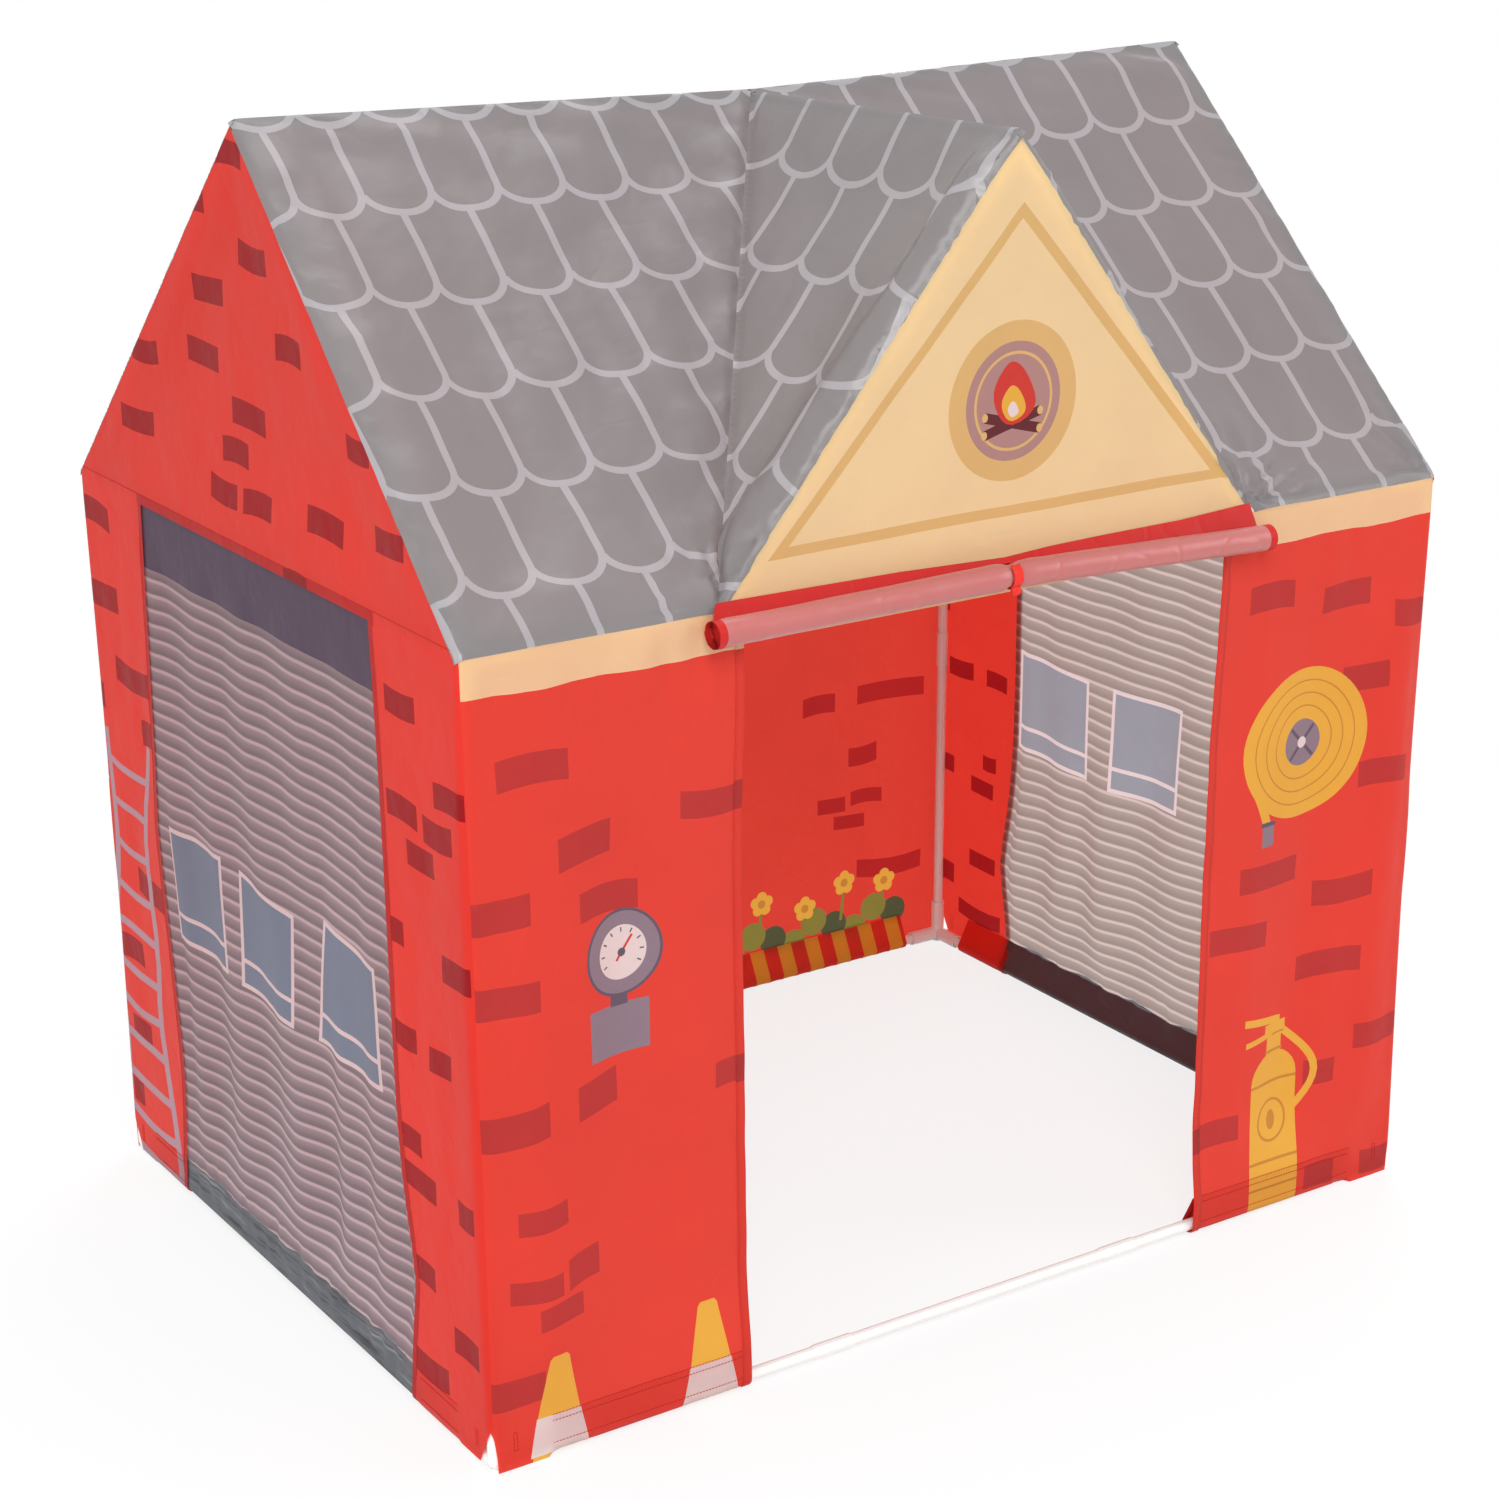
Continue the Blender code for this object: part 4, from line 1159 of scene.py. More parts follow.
def gable_surface(side):
    """A side wall whose upper edges turn a little towards the roof."""
    plain = wall_surface(side, side_fold, hem=(0.2655, HALF_Y - HEM_CORNER + 0.001))
    inward = WALLS[side][2]

    def surface(u, z):
        over = RAKE_BEND - below_rake(u, z)
        if z < EAVE - 0.03 or over <= 0:
            return plain(u, z)
        angle = over / RAKE_BEND
        back = over - RAKE_BEND * math.sin(angle)
        slide = math.copysign(back * ROOF_SLOPE / RAKE_LENGTH, u) * min(1.0, abs(u) / 0.01)
        return plain(u - slide, z - back / RAKE_LENGTH) + inward * RAKE_BEND * (1 - math.cos(angle))

    return surface


def shutter_fold(u, z):
    """Loose folds that run down the shutter and wander. Near its sides it lies behind the wall."""
    tall = ease(z, 0.02, 0.14) * (1 - ease(z, 0.72, 0.81))
    low_down = 1 - 0.45 * ease(z, 0.15, 0.60)
    turn = math.tau * (u / 0.118 + 0.30 * z + 0.40 * ruffle(u, z, 0.30, 0.45, 2.0))
    wave = 0.5 - 0.5 * math.cos(turn)
    valley = bell(u, 0.085 + 0.05 * z, 0.034) * ease(z, 0.04, 0.12) * (1 - ease(z, 0.45, 0.75))
    small = 0.5 + 0.5 * ruffle(u, z, 0.030, 0.10, 6.0)
    sharp = 1 - abs(ruffle(u, z, 0.055, 0.22, 17.0)) * 2
    loose = 0.0006 + tall * (low_down * (0.0088 * wave + 0.0008 * sharp) + 0.0022 * small) + 0.0075 * valley
    hem = ease(z, 0.006, 0.022) * (1 - ease(z, 0.050, 0.090))
    loose += hem * (0.0012 + 0.0030 * ruffle(u, z, 0.016, 0.035, 19.0))
    behind = max(0.0, side_fold(u, z)) + 0.0006
    edge = along_curve(OPENING_EDGE[1 if u > 0 else -1], z)
    seam = ease(abs(u), edge - 0.026, edge - 0.002) if z < OPENING_TOP else 1.0
    top = ease(z, 0.800, OPENING_TOP)
    return (loose * (1 - top) + 0.0006 * top) * (1 - seam) + behind * seam


def window(corners, pane):
    """A window of the shutter, with its frame and one glazing bar. The corners go anticlockwise
    from the lower left."""
    low_left, low_right, high_right, high_left = corners
    bar = [between(low_left, high_left, share) for share in (0.255, 0.215)]
    bar += [between(low_right, high_right, share) for share in (0.215, 0.255)]
    return [("frame", corners), (pane, inset(corners, [0.0055] * 4)), ("frame", bar)]


SHUTTER_WINDOWS = {
    "left": [
        [(-0.262, 0.331), (-0.131, 0.331), (-0.131, 0.468), (-0.270, 0.462)],
        [(-0.101, 0.328), (0.029, 0.324), (0.038, 0.454), (-0.094, 0.464)],
        [(0.070, 0.324), (0.236, 0.331), (0.233, 0.463), (0.106, 0.472)],
    ],
    "right": [
        rectangle(0.197, 0.391, 0.150, 0.134, 0.03), rectangle(0.010, 0.392, 0.128, 0.136, -0.03),
        rectangle(-0.180, 0.392, 0.132, 0.136, 0.03),
    ],
}


def build_side(side, faded, places, artwork):
    """A side wall and the shutter sewn behind its opening."""
    outline = gable_outline()
    surface = gable_surface(side)
    # The band above the opening and the strips beside it lie double; their darker red is painted shade
    lintel = rectangle(0.0, OPENING_TOP + 0.0035, 0.56, 0.0150)
    # The side walls' bricks are darker copies: painted shade against the walls' sheen
    prints = bricks(places, slot="brick_side_shaded") + artwork + [("red_double_shaded", lintel), ("red_double_shaded", HEM_BACK)]
    seams = [[(-HALF_Y + 0.012, EAVE + 0.004), (HALF_Y - 0.012, EAVE + 0.004)]]
    for end in (-1, 1):
        strip = opening_edge(end, -0.004)
        prints.append(("red_double_shaded", strip + [(u + end * 0.0125, z) for u, z in reversed(strip)]))
        seams.append([(u, z) for u, z in opening_edge(end, 0.0085) if 0.001 < z < OPENING_TOP - 0.001])
        seams += [[(end * 0.296, level), (end * (HALF_Y - HEM_CORNER), level)] for level in HEM_LINES]
        seams += tack(end * (HALF_Y - 0.030))
    prints += bricks([(0.112, OPENING_TOP + 0.004, 0.052, 0.013)], slot="brick_side_shaded")
    # The side wall's base red is a deeper copy: painted shade against its sheen
    piece = sheet(f"{side}_side_cloth", outline, clip_to(prints, outline), surface, "red_side_shaded")
    thread = stitching(f"{side}_side_stitching", seams, surface, "thread")
    dress(piece, f"{side}_wall", outline, [thread])

    surface = wall_surface(side, shutter_fold, base=SKIN + SHUTTER_DEPTH, hem=(-1, 9))
    left, right = opening_edge(-1, 0.010), opening_edge(1, 0.010)
    outline = right + [(right[-1][0], SHUTTER_TOP), (left[-1][0], SHUTTER_TOP)] + left[::-1]
    header = rectangle(0.0, SHUTTER_HEAD + 0.05, 0.70, 0.10)
    foot = [(-0.35, HEM_FOOT - 0.01), (0.35, HEM_FOOT - 0.01)]
    foot += [(0.35 - 0.70 * n / 30, 0.048 + 0.0030 * math.sin(n * 1.4)) for n in range(31)]
    # The hem's inner run takes a darker grey of the shutter cloth: painted shade
    prints = [("navy", header), ("shutter_foot", foot), ("shutter_back_shaded", HEM_BACK)]
    # On the right shutter the panes and slats take their lighter copies: painted light coming through it
    for place in SHUTTER_WINDOWS[side]:
        prints += window(place, f"pane{faded}")
    piece = sheet(
        f"{side}_shutter_cloth", outline, prints, surface, f"shutter{faded}", step=0.0080, rim=False
    )
    seams = [[(-0.26, level), (0.26, level)] for level in HEM_LINES[:2]]
    thread = stitching(f"{side}_shutter_stitching", seams, surface, "thread_grey")
    dress(piece, f"{side}_shutter", outline, [thread])


SIDE_BRICKS = [
    (-0.012, 1.229, 0.066, 0.024), (-0.088, 1.177, 0.034, 0.026), (0.031, 1.135, 0.067, 0.026),
    (-0.077, 1.088, 0.071, 0.027), (0.107, 1.055, 0.058, 0.026), (-0.099, 1.020, 0.076, 0.026),
    (-0.239, 1.002, 0.063, 0.025), (0.008, 0.974, 0.075, 0.027), (-0.025, 0.932, 0.060, 0.026),
    (-0.271, 0.922, 0.079, 0.026), (-0.053, 0.888, 0.064, 0.026), (0.026, 0.888, 0.066, 0.026),
    (0.178, 0.899, 0.077, 0.027), (0.256, 0.988, 0.048, 0.024), (0.314, 0.912, 0.062, 0.025),
    (-0.406, 0.791, 0.076, 0.028), (-0.404, 0.697, 0.080, 0.030), (-0.336, 0.618, 0.097, 0.028),
    (-0.440, 0.575, 0.035), (-0.305, 0.557, 0.038), (-0.445, 0.490, 0.030), (0.324, 0.762, 0.060, 0.026),
    (0.412, 0.690, 0.056, 0.026), (0.317, 0.655, 0.058, 0.026), (0.387, 0.650, 0.060, 0.028),
    (0.349, 0.615, 0.053, 0.026), (0.290, 0.523, 0.028, 0.026), (0.410, 0.517, 0.055, 0.028),
    (0.297, 0.418, 0.047, 0.026), (0.370, 0.413, 0.045, 0.026, 0.10), (0.295, 0.305, 0.050, 0.026),
    (0.313, 0.267, 0.070, 0.026), (0.410, 0.267, 0.035, 0.028), (0.315, 0.167, 0.047, 0.026),
    (0.400, 0.120, 0.050, 0.028), (0.323, 0.062, 0.072, 0.028), (-0.330, 0.365, 0.085),
    (-0.400, 0.270, 0.060), (-0.390, 0.170, 0.050), (-0.415, 0.085, 0.030),
]
RIGHT_LEG_BRICKS = [
    (0.401, 0.401, 0.055, 0.024), (0.323, 0.401, 0.043, 0.023), (0.436, 0.260, 0.045, 0.024),
    (0.334, 0.283, 0.029, 0.021), (0.349, 0.245, 0.047, 0.022), (0.434, 0.101, 0.048, 0.028),
    (0.347, 0.138, 0.057, 0.023), (0.352, 0.060, 0.093, 0.022),
]
MIRRORED_BRICKS = [(-u, z, *rest) for u, z, *rest in SIDE_BRICKS if u > -0.28 or z > 0.45]
build_side("left", "", SIDE_BRICKS, ladder())
# The right shutter takes the lighter copies of the shutter's colours: painted light coming through it from
# outside
build_side("right", "_faded", MIRRORED_BRICKS + RIGHT_LEG_BRICKS, [])


# Back wall


def back_fold(u, z):
    tall = ease(z, 0.03, 0.16) * (1 - ease(z, 0.62, 0.80))
    still = ease(HALF_X - 0.004 - abs(u), 0.0, 0.04)
    wave = 0.0045 + 0.0050 * ruffle(u, z, 0.16, 0.45, 12.0) + 0.0018 * ruffle(u, z, 0.05, 0.15, 15.0)
    return tall * still * wave


BACK_BRICKS = [
    (-0.392, 0.375, 0.052), (-0.509, 0.376, 0.108), (-0.464, 0.294, 0.046),
    (-0.413, 0.230, 0.045, 0.021, 0.06), (-0.470, 0.232, 0.051, 0.020, 0.06),
    (-0.442, 0.202, 0.051, 0.019, 0.08), (-0.509, 0.128, 0.106), (-0.200, 0.620, 0.070),
    (-0.020, 0.550, 0.060), (0.060, 0.510, 0.060), (0.200, 0.660, 0.070), (0.380, 0.600, 0.080),
    (0.460, 0.700, 0.060), (0.520, 0.450, 0.070), (0.330, 0.360, 0.060), (0.400, 0.320, 0.060),
    (0.100, 0.340, 0.070), (-0.140, 0.400, 0.060), (-0.220, 0.360, 0.060), (0.250, 0.220, 0.070),
    (0.500, 0.200, 0.060), (-0.500, 0.660, 0.070), (-0.400, 0.730, 0.060), (-0.050, 0.740, 0.070),
]


def build_back():
    stop = HALF_X - HEM_CORNER
    surface = wall_surface("back", back_fold, hem=(-1, stop + 0.001))
    right = [(stop, HEM_FOOT), (stop, 0.0008), (corner_edge(HALF_X, 0.0) - 0.001, 0.0008)]
    right += edge_points(HALF_X, 0.03, WALL_TOP)
    outline = right + [(-u, z) for u, z in reversed(right)]
    prints = bricks(BACK_BRICKS, 0.026, "brick_back") + flower_box(-0.535, 0.535) + [("red_double_shaded", HEM_BACK)]
    piece = sheet("back_cloth", outline, clip_to(prints, outline), surface, "red")
    seams = [[(-stop, level), (stop, level)] for level in HEM_LINES]
    thread = stitching("back_stitching", seams, surface, "thread")
    dress(piece, "back_wall", outline, [thread])


build_back()


# Roof


def bent_surface(base, normal, bends, sag):
    """Cloth over a roof slope that bends over the poles along its edges. A bend is (point,
    outward direction, radius, reach of the bend inside the edge, share of the turn)."""

    def surface(a, b):
        depth = SKIN + sag(a, b)
        slide_a = slide_b = 0.0
        for (point_a, point_b), (out_a, out_b), radius, reach, share in bends:
            over = (a - point_a) * out_a + (b - point_b) * out_b + reach
            if over > 0:
                turn = min(over / radius, share * 1.1)
                move = radius * math.sin(turn) - over
                slide_a += move * out_a
                slide_b += move * out_b
                depth += radius * (1 - math.cos(turn))
        return base(a + slide_a, b + slide_b) - normal * depth

    return surface


def polygon_bends(corners, turns):
    """The bends of an anticlockwise outline, and the outline where the cloth is sewn. turns has,
    for each edge, None or (radius, whole turn between the two cloths, this cloth's share)."""
    bends, gives = [], []
    for number, start in enumerate(corners):
        if turns[number] is None:
            gives.append(0.0004)
            continue
        radius, whole, share = turns[number]
        end = corners[(number + 1) % len(corners)]
        run_a, run_b = end[0] - start[0], end[1] - start[1]
        length = math.hypot(run_a, run_b)
        reach = radius * math.tan(whole / 2)
        bends.append((start, (run_b / length, -run_a / length), radius, reach, share))
        gives.append(reach - radius * share)
    return bends, inset(corners, gives)


EAVE_BENDS = (EAVE_BEND, EAVE_TURN, EAVE_TURN)
RIDGE_BENDS = (RIDGE_BEND, 2 * SLOPE_ANGLE, SLOPE_ANGLE)
RAKE_BENDS = (RAKE_BEND, math.pi / 2, math.pi / 2 - RAKE_SHARE)
EAVE_X = HALF_X + EAVE_SPREAD
PEAK_X = HALF_X - PEAK_TUCK
FOOT_LEFT_X = DORMER_X - DORMER_HALF
FOOT_RIGHT_X = DORMER_X + DORMER_HALF


def ridge_height(x):
    if x < DORMER_X:
        return GABLE + (HUB - GABLE) * (x + PEAK_X) / (DORMER_X + PEAK_X)
    return HUB + (GABLE - HUB) * (x - DORMER_X) / (PEAK_X - DORMER_X)


def puckers(along, away, size, length, reach, seed):
    """Small gathers across an edge, dying out away from it."""
    fading = ease(away, 0.0, 0.006) * (1 - ease(away, 0.01, reach))
    return size * ruffle(along, away, length, 3 * length, seed) * fading


def gathers(a, b, centre, size, reach, seed):
    """Creases that run out from a corner like a fan."""
    run_a, run_b = a - centre[0], b - centre[1]
    far = math.hypot(run_a, run_b)
    if not 0.002 < far < reach:
        return 0.0
    angle = math.atan2(run_b, run_a)
    drift = noise.noise(Vector((angle * 1.5, far * 11, seed)))
    fan = 0.6 - abs(math.sin(angle * 9 + 2.6 * drift))
    fan += 0.8 * noise.noise(Vector((angle * 7, far * 20, seed + 2)))
    return size * fan * ease(far, 0.0, 0.02) * (1 - ease(far, 0.03, reach))


def groove(a, b, valley):
    """The crease along the seam where two slopes meet."""
    return VALLEY_GROOVE * (1 - ease(edge_distance(a, b, valley), 0.0, 0.010))


def roof_sag(a, b, corners, seed, feet):
    """How deep a main slope hangs, with its puckers. feet are (corner, size, reach) of gathers."""
    away = edge_distance(a, b, corners)
    fine = 0.0052 * ruffle(a, b, 0.10, 0.15, seed) + 0.0018 * ruffle(a, b, 0.035, 0.07, seed + 4)
    fine += 0.0034 * ruffle(a, b, 0.045, 0.32, seed + 6)
    bumps = 0.0080 * ease(away, 0.004, 0.20) + fine * ease(away, 0.004, 0.05)
    bumps += puckers(b + 0.4 * a, away, 0.0030, 0.018, 0.07, seed + 8)
    bumps += puckers(b + 0.4 * a, away, 0.0056, 0.045, 0.12, seed + 10) * ease(away, 0.004, 0.034)
    for centre, size, reach in feet:
        bumps += gathers(a, b, centre, size, reach, seed + 12) * ease(away, 0.0, 0.008)
    return bumps


def build_main_roof(node, xs_ridge, xs_eave, way, turns, phase, first, feet=(), step=0.011):
    """One slope of the main roof. xs are the ends of its ridge and eave from left to right as
    seen from outside, and turns its bends: eave, right, ridge, left. way is -1 on the front slope
    and 1 on the back one."""
    corners = [
        (-way * xs_eave[0], -ROOF_LENGTH), (-way * xs_eave[1], -ROOF_LENGTH),
        (-way * xs_ridge[1], 0.0), (-way * xs_ridge[0], 0.0),
    ]
    normal = Vector((0, way * math.sin(SLOPE_ANGLE), math.cos(SLOPE_ANGLE)))
    bends, outline = polygon_bends(corners, turns)
    (low_a, high_a), _ = extent(corners)
    valleys = [(corners[n], corners[(n + 1) % 4]) for n in range(4) if turns[n] is None]

    def sag(a, b):
        bumps = roof_sag(a, b, corners, 20.0 + 7 * xs_eave[0], feet)
        return bumps + sum(groove(a, b, valley) for valley in valleys)

    def base(a, b):
        x, share = -way * a, -b / ROOF_LENGTH
        return Vector((x, MIDDLE_Y + way * HALF_Y * share, ridge_height(x) * (1 - share) + EAVE * share))

    surface = bent_surface(base, normal, bends, sag)
    prints = clip_to(shingles(low_a, high_a, -ROOF_LENGTH, phase, first=first), outline)
    piece = sheet(f"{node}_cloth", outline, prints, surface, "roof", step=step)
    dress(piece, node, outline)


build_main_roof(
    "roof_front_left", (-PEAK_X, DORMER_X), (-EAVE_X, FOOT_LEFT_X), -1,
    (EAVE_BENDS, None, RIDGE_BENDS, RAKE_BENDS), -0.010, 0.098,
    [((FOOT_LEFT_X, -ROOF_LENGTH), 0.0030, 0.13), ((-EAVE_X, -ROOF_LENGTH), 0.0024, 0.09)],
)
build_main_roof(
    "roof_front_right", (DORMER_X, PEAK_X), (FOOT_RIGHT_X, EAVE_X), -1,
    (EAVE_BENDS, RAKE_BENDS, RIDGE_BENDS, None), 0.0085, 0.088,
    [((FOOT_RIGHT_X, -ROOF_LENGTH), 0.0072, 0.17), ((EAVE_X, -ROOF_LENGTH), 0.0056, 0.14)], 0.0065,
)
build_main_roof(
    "roof_back", (PEAK_X, -PEAK_X), (EAVE_X, -EAVE_X), 1,
    (EAVE_BENDS, RAKE_BENDS, RIDGE_BENDS, RAKE_BENDS), 0.0, 0.095,
)

# Dormer

hub = Vector((DORMER_X, MIDDLE_Y, HUB))
tip = Vector((DORMER_X, FRONT_Y - DORMER_LEAN, DORMER))
dormer_feet = {
    "left": Vector((DORMER_X - DORMER_HALF, FRONT_Y, EAVE)),
    "right": Vector((DORMER_X + DORMER_HALF, FRONT_Y, EAVE)),
}
gable_normal = (dormer_feet["right"] - dormer_feet["left"]).cross(tip - dormer_feet["left"]).normalized()
ridge_way = (tip - hub).normalized()


def dormer_frame(side):
    """The plane of one dormer slope: its outward normal, its way along and its way up."""
    reach = dormer_feet[side] - hub
    up = -(reach - ridge_way * reach.dot(ridge_way)).normalized()
    along = ridge_way if side == "left" else -ridge_way
    return along.cross(up).normalized(), along, up


slope_normals = {side: dormer_frame(side)[0] for side in dormer_feet}
DORMER_RIDGE_TURN = slope_normals["left"].angle(slope_normals["right"])
DORMER_RAKE_TURN = slope_normals["left"].angle(gable_normal)
GABLE_SHARE = math.radians(6)
DORMER_RIDGE_BENDS = (DORMER_RIDGE_BEND, DORMER_RIDGE_TURN, DORMER_RIDGE_TURN / 2)
DORMER_RAKE_BENDS = (DORMER_RAKE_BEND, DORMER_RAKE_TURN, DORMER_RAKE_TURN - GABLE_SHARE)


def build_dormer_roof(side, fold_size):
    """One slope of the dormer. fold_size is the depth of the soft fold beside its front edge."""
    normal, along, up = dormer_frame(side)
    foot, front, back = [
        ((point - hub).dot(along), (point - hub).dot(up)) for point in (dormer_feet[side], tip, hub)
    ]
    if side == "left":
        corners = [foot, front, back]
        turns = (DORMER_RAKE_BENDS, DORMER_RIDGE_BENDS, None)
    else:
        corners = [foot, back, front]
        turns = (None, DORMER_RIDGE_BENDS, DORMER_RAKE_BENDS)
    bends, outline = polygon_bends(corners, turns)
    (low_a, high_a), (foot_b, _) = extent(corners)
    length = math.dist(foot, front)
    way_a, way_b = (front[0] - foot[0]) / length, (front[1] - foot[1]) / length

    def sag(a, b):
        away = edge_distance(a, b, corners)
        fine = 0.0034 * ruffle(a, b, 0.06, 0.12, 41.0) + 0.0014 * ruffle(a, b, 0.025, 0.06, 44.0)
        run_a, run_b = a - foot[0], b - foot[1]
        along_rake = run_a * way_a + run_b * way_b
        from_rake = abs(run_a * way_b - run_b * way_a)
        small = 0.0021 * ruffle(along_rake + 0.8 * from_rake, 0.0, 0.0085, 1.0, 47.0)
        large = 0.0038 * ruffle(along_rake + 0.6 * from_rake, 0.0, 0.030, 1.0, 52.0)
        crinkle = (small + large * ease(from_rake, 0.0, 0.01)) * (1 - ease(from_rake, 0.008, 0.040))
        fan = gathers(a, b, corners[0], 0.0052, 0.19, 49.0) * ease(away, 0.0, 0.008)
        high = along_rake / length
        fold = fold_size * hump(from_rake, 0.0, 0.075 - 0.035 * high)
        fold *= ease(high, 0.0, 0.12) * (1 - ease(high, 0.88, 1.0))
        body = 0.0090 * ease(away, 0.004, 0.12) * ease(from_rake, 0.02, 0.09)
        return body + fine * ease(away, 0.004, 0.05) + crinkle + fan - fold + groove(a, b, (foot, back))

    def base(a, b):
        return hub + along * a + up * b

    surface = bent_surface(base, normal, bends, sag)
    flip = 1 if side == "left" else -1
    printed = shingles(-0.02, 0.50, foot_b, 0.0715, pitch=0.085, drop=0.107, first=0.061)
    printed = [(slot, [(flip * a, b) for a, b in shape]) for slot, shape in printed]
    piece = sheet(f"dormer_{side}_cloth", outline, clip_to(printed, outline), surface, "roof", step=0.010)
    dress(piece, f"dormer_roof_{side}", outline)


build_dormer_roof("left", 0.0120)
build_dormer_roof("right", 0.0070)


def build_dormer_gable():
    """The cream triangle above the doorway, with its printed border and badge."""
    origin = (dormer_feet["left"] + dormer_feet["right"]) / 2
    up = (tip - origin).normalized()
    height = math.sqrt((tip - dormer_feet["left"]).length ** 2 - DORMER_HALF**2)
    corners = [(-DORMER_HALF, 0.0), (DORMER_HALF, 0.0), (0.0, height)]
    edge_bend = (DORMER_RAKE_BEND, DORMER_RAKE_TURN, GABLE_SHARE)
    bends, outline = polygon_bends(corners, (None, edge_bend, edge_bend))
    bound = DOOR_HALF - 0.002
    skirt = DOOR_TOP - EAVE
    outline = [outline[0], (-bound, 0.0), (-bound, skirt), (bound, skirt), (bound, 0.0)] + outline[1:]

    def sag(a, b):
        inner = min(height - b - abs(a) * height / DORMER_HALF, 0.12) / 0.12
        body = max(0.0, inner) * ease(b, -0.02, 0.06)
        uneven = 0.0028 * ruffle(a, b, 0.08, 0.14, 51.0) + 0.0010 * ruffle(a, b, 0.03, 0.08, 55.0)
        return body * (0.0045 + uneven)

    def base(a, b):
        return origin + Vector((a, 0, 0)) + (Vector((0, 0, b)) if b < 0 else up * b)

    surface = bent_surface(base, gable_normal, bends, sag)
    border = [(-0.278, 0.037), (0.293, 0.040), (0.010, 0.350)]
    prints = [("border", border), ("cream", inset(border, [0.0105] * 3))] + badge(0.009, 0.155)
    piece = sheet("dormer_gable_cloth", outline, prints, surface, "cream", step=0.010)
    dress(piece, "dormer_gable", outline)


build_dormer_gable()

# The seams between neighbouring sheets


def free_edges(mesh):
    """The edges along the rim of a sheet."""
    uses = {}
    for polygon in mesh.polygons:
        for key in polygon.edge_keys:
            uses[key] = uses.get(key, 0) + 1
    return [key for key, count in uses.items() if count == 1]


def sew(names, reach=0.0045):
    """Bring the rims of neighbouring sheets together: each rim moves onto those named after it."""
    meshes = [bpy.data.objects[name].data for name in names]
    rims = [(mesh, free_edges(mesh)) for mesh in meshes]
    for number, (mesh, rim) in enumerate(rims[:-1]):
        points, faces = [], []
        for other, others in rims[number + 1:]:
            for first, last in others:
                start, end = other.vertices[first].co.copy(), other.vertices[last].co.copy()
                faces.append([len(points), len(points) + 1, len(points) + 2])
                points += [start, end, (start + end) / 2 + Vector((1e-6, 1e-6, 1e-6))]
        tree = bvhtree.BVHTree.FromPolygons(points, faces)
        for index in {index for edge in rim for index in edge}:
            spot = tree.find_nearest(mesh.vertices[index].co, reach)[0]
            if spot:
                mesh.vertices[index].co = spot


sew([
    "front_left_cloth", "front_right_cloth", "back_cloth", "left_side_cloth", "right_side_cloth",
    "dormer_gable_cloth", "dormer_left_cloth", "dormer_right_cloth", "roof_front_left_cloth",
    "roof_front_right_cloth", "roof_back_cloth",
])

# Curtain: a short hanging strip, the roll and its tie. Their lines are (x, z) points

ROLL_LINE = [(ROLL_LOW_X, 0.8184), (-0.177, 0.8195), (0.0, 0.8211), (0.155, 0.8164), (ROLL_HIGH_X, 0.8086)]
STRIP_TOP = [
    (-0.331, 0.842), (-0.258, 0.841), (-0.118, 0.839), (0.010, 0.834), (0.070, 0.837), (0.132, 0.838),
    (0.238, 0.8385), (0.332, 0.843),
]


def line_height(line, x):
    return along_curve([(z, run) for run, z in line], x)


def roll_middle(x):
    """The roll sags a little on each side of its tie, more on the right."""
    return Vector((x, ROLL_Y, line_height(ROLL_LINE, x)))


def build_roll(per_turn=28, collar=0.009):
    """The rolled curtain: a wound sheet whose layers show at both ends."""
    span = ROLL_HIGH_X - ROLL_LOW_X
    ends = (0.0, 0.003, 0.006)
    columns = [ROLL_LOW_X + step for step in (*ends, collar)]
    columns += [ROLL_LOW_X + collar + (span - 2 * collar) * n / 110 for n in range(1, 111)]
    columns += [ROLL_HIGH_X - step for step in reversed(ends)]
    count = int(ROLL_TURNS * per_turn)
    pitch = (ROLL_RADIUS - 0.0007 - ROLL_CORE) / ROLL_TURNS
    mesh = bmesh.new()
    grid = []
    for x in columns:
        middle = roll_middle(x)
        pinch = 1 - 0.24 * bell(x, TIE_X, 0.009)
        puff = 1 + 0.04 * bell(abs(x - TIE_X), 0.024, 0.010)
        near_end = 1 - ease(min(x - ROLL_LOW_X, ROLL_HIGH_X - x), 0.0, 0.045)
        crumple = 0.25 + bell(x, TIE_X, 0.035) + near_end
        column = []
        for step in range(count + 1):
            outer = step / count
            wound = step * 0.02
            radius = ROLL_CORE + pitch * step / per_turn
            radius *= 1 + 0.045 * ruffle(x, wound, 0.07, 0.26, 60.0) * outer
            radius *= 1 + 0.030 * ruffle(x + 0.05 * outer, wound, 0.012, 0.16, 63.0) * crumple
            if x < 0:
                radius *= 1 + 0.10 * near_end * ruffle(x, step * 0.05, 0.02, 0.14, 66.0)
            radius = min(radius * pinch * puff, ROLL_RADIUS * 1.03)
            turn = math.tau * (step - count) / per_turn
            column.append(mesh.verts.new(middle + Vector((0, math.cos(turn), math.sin(turn))) * radius))
        grid.append(column)
    for number, (first, second) in enumerate(zip(grid, grid[1:])):
        at_end = number < 3 or number >= len(grid) - 4
        for step in range(count):
            face = mesh.faces.new((first[step], first[step + 1], second[step + 1], second[step]))
            face.smooth = True
            face.material_index = 1 if at_end or step < count - per_turn - 3 else 0
    piece = skin("curtain_roll_cloth", mesh, ["curtain_reverse", "curtain_front"], outward=False)
    flat = piece.data.uv_layers.new(name="flat").data
    for corner in piece.data.loops:
        where = piece.data.vertices[corner.vertex_index].co
        flat[corner.index].uv = (where.x, where.z + where.y)
    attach(piece, "curtain")
    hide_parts("curtain_roll")


build_roll()


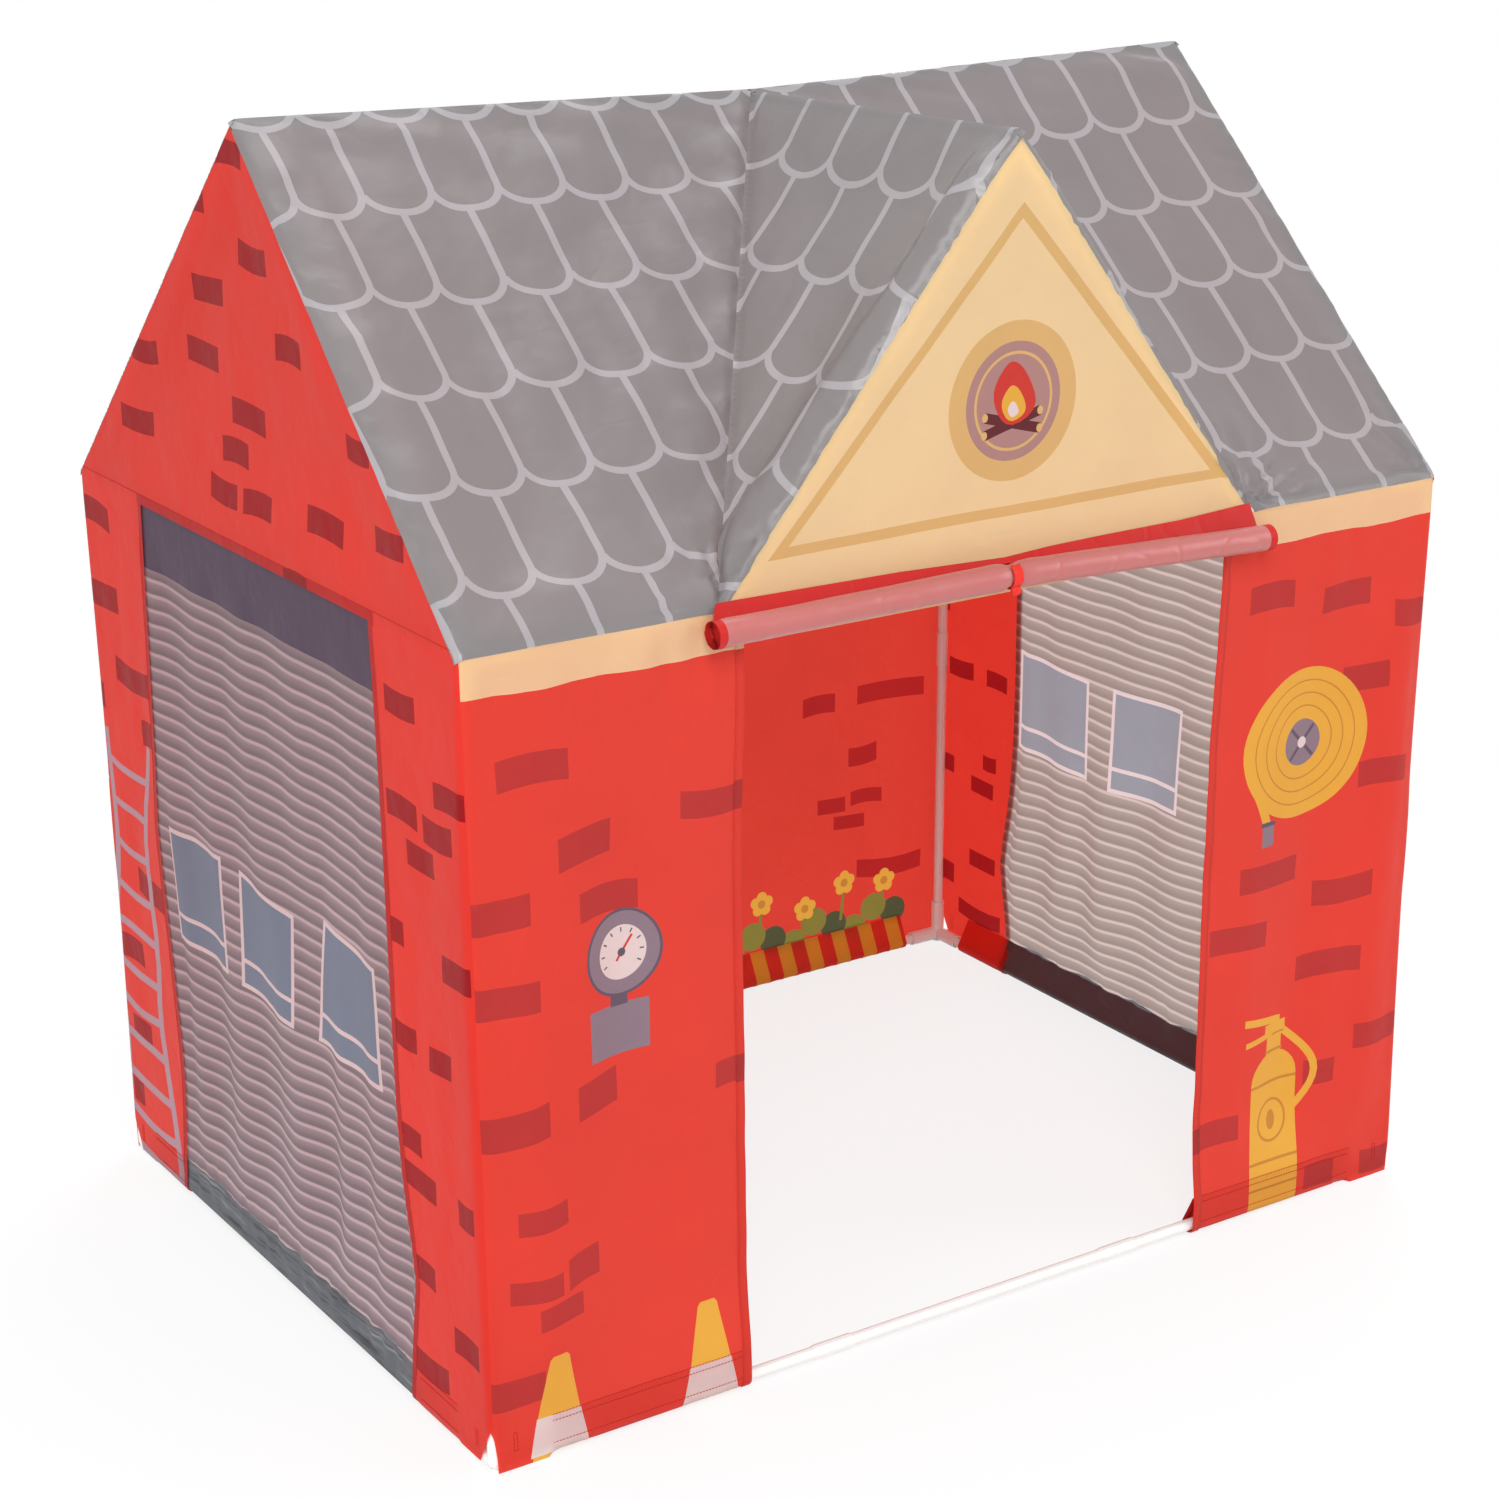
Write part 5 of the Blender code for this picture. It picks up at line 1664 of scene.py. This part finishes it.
def build_hanging_strip():
    """The stretch of curtain between the eave and the roll, red side out. It stands further out the
    lower it hangs."""
    tuck = 0.004

    def surface(x, z):
        top = line_height(STRIP_TOP, x)
        share = max(0.0, (top - z) / (top - roll_middle(x).z + tuck))
        away = abs(x - TIE_X)
        out = 0.004 * math.sin(math.pi * min(1.0, away / 0.32)) + 0.011
        out += 0.0016 * ruffle(x, z, 0.04, 0.04, 70.0)
        out += 0.0012 * ruffle(x + 0.5 * z, z, 0.009, 0.04, 73.0) * bell(away, 0.0, 0.04)
        return Vector((x, FRONT_Y - SKIN - share * out, z))

    low_x, high_x = ROLL_LOW_X + tuck, ROLL_HIGH_X - tuck
    columns = [low_x + (high_x - low_x) * number / 24 for number in range(25)]
    foot = [(x, roll_middle(x).z - tuck) for x in columns]
    outline = foot + STRIP_TOP[::-1]
    piece = sheet("curtain_strip_cloth", outline, [], surface, "curtain_front", step=0.006)
    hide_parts("curtain_sheet")
    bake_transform(piece)
    abs(turning(outline))


build_hanging_strip()


def loft(name, rings):
    """A smooth skin over rings of points."""
    mesh = bmesh.new()
    tube(mesh, rings)
    piece = skin(name, mesh, ["tie_band"])
    piece.data.shade_smooth()
    return piece


def build_tie():
    """The band that holds the roll up, with its small knot underneath."""
    middle = roll_middle(TIE_X)
    rings = []
    for column in range(7):
        share = column / 6 * 2 - 1
        across = Vector((share * 0.0055, 0, 0))
        outside, inside = [], []
        for n in range(25):
            angle = math.radians(28 + 304 * n / 24)
            radius = ROLL_RADIUS * (0.80 + 0.04 * share * share) + 0.0010
            radius += 0.0004 * math.sin(9 * angle + 4 * share)
            way = Vector((0, -math.sin(angle), math.cos(angle)))
            outside.append(middle + way * radius + across)
            inside.append(middle + way * (radius - 0.0008) + across)
        rings.append(outside + inside[::-1])
    band = loft("tie_cloth", rings)
    knot_middle = middle + Vector((0.001, -0.0075, -0.0145))
    rings = []
    for row in range(9):
        tilt = math.pi * (row + 0.5) / 9
        ring = []
        for n in range(14):
            angle = math.tau * n / 14
            side = math.sin(tilt) * (1 + 0.18 * math.sin(3 * angle + 5 * tilt))
            across, deep = 0.0062 * side * math.cos(angle), 0.0036 * side * math.sin(angle)
            ring.append(knot_middle + Vector((across, deep, 0.0052 * math.cos(tilt))))
        rings.append(ring)
    knot = loft("tie_knot", rings)
    for piece in (band, knot):
        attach(piece, "tent")
        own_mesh(piece)
    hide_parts("tie_strap")


build_tie()

# Poles and connectors keep their CAD shapes

white_plastic = plastic("white_plastic_finish", srgb(240, 239, 236))
for thing in frame["nodes"].values():
    if not thing.hide_render:
        thing.data.materials.clear()
        thing.data.materials.append(white_plastic)

# Stage, light and camera

WHITE = (1, 1, 1, 1)


def stage_material(name):
    """White in reflections, and to the camera a white that keeps some of the tent's shadow close
    to it."""
    made = Nodes(bpy.data.materials.new(name))
    ray = made.add("ShaderNodeLightPath").outputs
    mirrored = made.math("MAXIMUM", ray["Is Glossy Ray"], ray["Is Transmission Ray"])
    away = made.add("ShaderNodeVectorMath", operation="LENGTH")
    made.join(away.inputs[0], made.add("ShaderNodeTexCoord").outputs["Object"])
    far = made.add("ShaderNodeMapRange", interpolation_type="SMOOTHSTEP", Value=away.outputs["Value"])
    made.feed(far.inputs, From_Min=0.6, From_Max=1.5, To_Min=0.80, To_Max=1.0)
    shown = made.math("MULTIPLY", ray["Is Camera Ray"], far.outputs[0])
    made.feed(made.shader.inputs, Base_Color=(0.90, 0.90, 0.90, 1), Roughness=0.9)
    white = made.add("ShaderNodeEmission", Strength=1.0)
    made.cover(made.math("MAXIMUM", mirrored, shown), made.shader.outputs[0], white.outputs[0])
    return made.owner


def build_stage():
    mesh = bmesh.new()
    bmesh.ops.create_circle(mesh, cap_ends=True, segments=64, radius=14.0)
    floor = skin("stage_floor", mesh, outward=False)
    floor.location = (0, 0, -0.0006)
    floor.data.materials.append(stage_material("stage_finish"))

    studio = Nodes(bpy.data.worlds.new("studio"))
    bpy.context.scene.world = studio.owner
    studio.feed(studio.shader.inputs, Color=WHITE, Strength=0.62)
    bright = studio.add("ShaderNodeBackground", Color=WHITE, Strength=1.0)
    ray = studio.add("ShaderNodeLightPath").outputs
    seen = studio.math("MAXIMUM", ray["Is Camera Ray"], ray["Is Glossy Ray"])
    seen = studio.math("MAXIMUM", seen, ray["Is Transmission Ray"])
    studio.cover(seen, studio.shader.outputs[0], bright.outputs[0])


def area_light(name, place, target, size, power):
    data = bpy.data.lights.new(name, "AREA")
    data.shape = "DISK"
    data.size = size
    data.energy = power
    lamp = bpy.data.objects.new(name, data)
    lamp.location = place
    lamp.rotation_euler = (Vector(target) - Vector(place)).to_track_quat("-Z", "Y").to_euler()
    bpy.context.collection.objects.link(lamp)


build_stage()
area_light("key", (-1.6, -3.2, 3.4), (0, 0, 0.7), 2.2, 95)
area_light("fill", (3.4, -2.6, 2.0), (0, 0, 0.6), 2.6, 45)
area_light("back", (3.0, 2.9, 2.4), (0, 0, 0.5), 2.6, 85)
area_light("left", (-3.5, -0.8, 1.8), (-0.3, 0, 0.6), 2.4, 35)
area_light("top", (0.4, 0.6, 4.2), (0, 0, 0.8), 2.6, 40)

scene = bpy.context.scene
scene.view_settings.view_transform = "Standard"
camera_data = bpy.data.cameras.new("camera")
camera = bpy.data.objects.new("camera", camera_data)
camera_way = Vector((0.51850, 0.79312, -0.31957))
camera_right = Vector((0.83560, -0.54928, -0.00746))
camera_data.sensor_width = 36.0
camera_data.lens = 74.82
camera.location = (-1.8381, -2.7876, 1.6423)
camera_up = camera_right.cross(camera_way)
camera.rotation_euler = Matrix((camera_right, camera_up, -camera_way)).transposed().to_euler()
bpy.context.collection.objects.link(camera)
scene.camera = camera
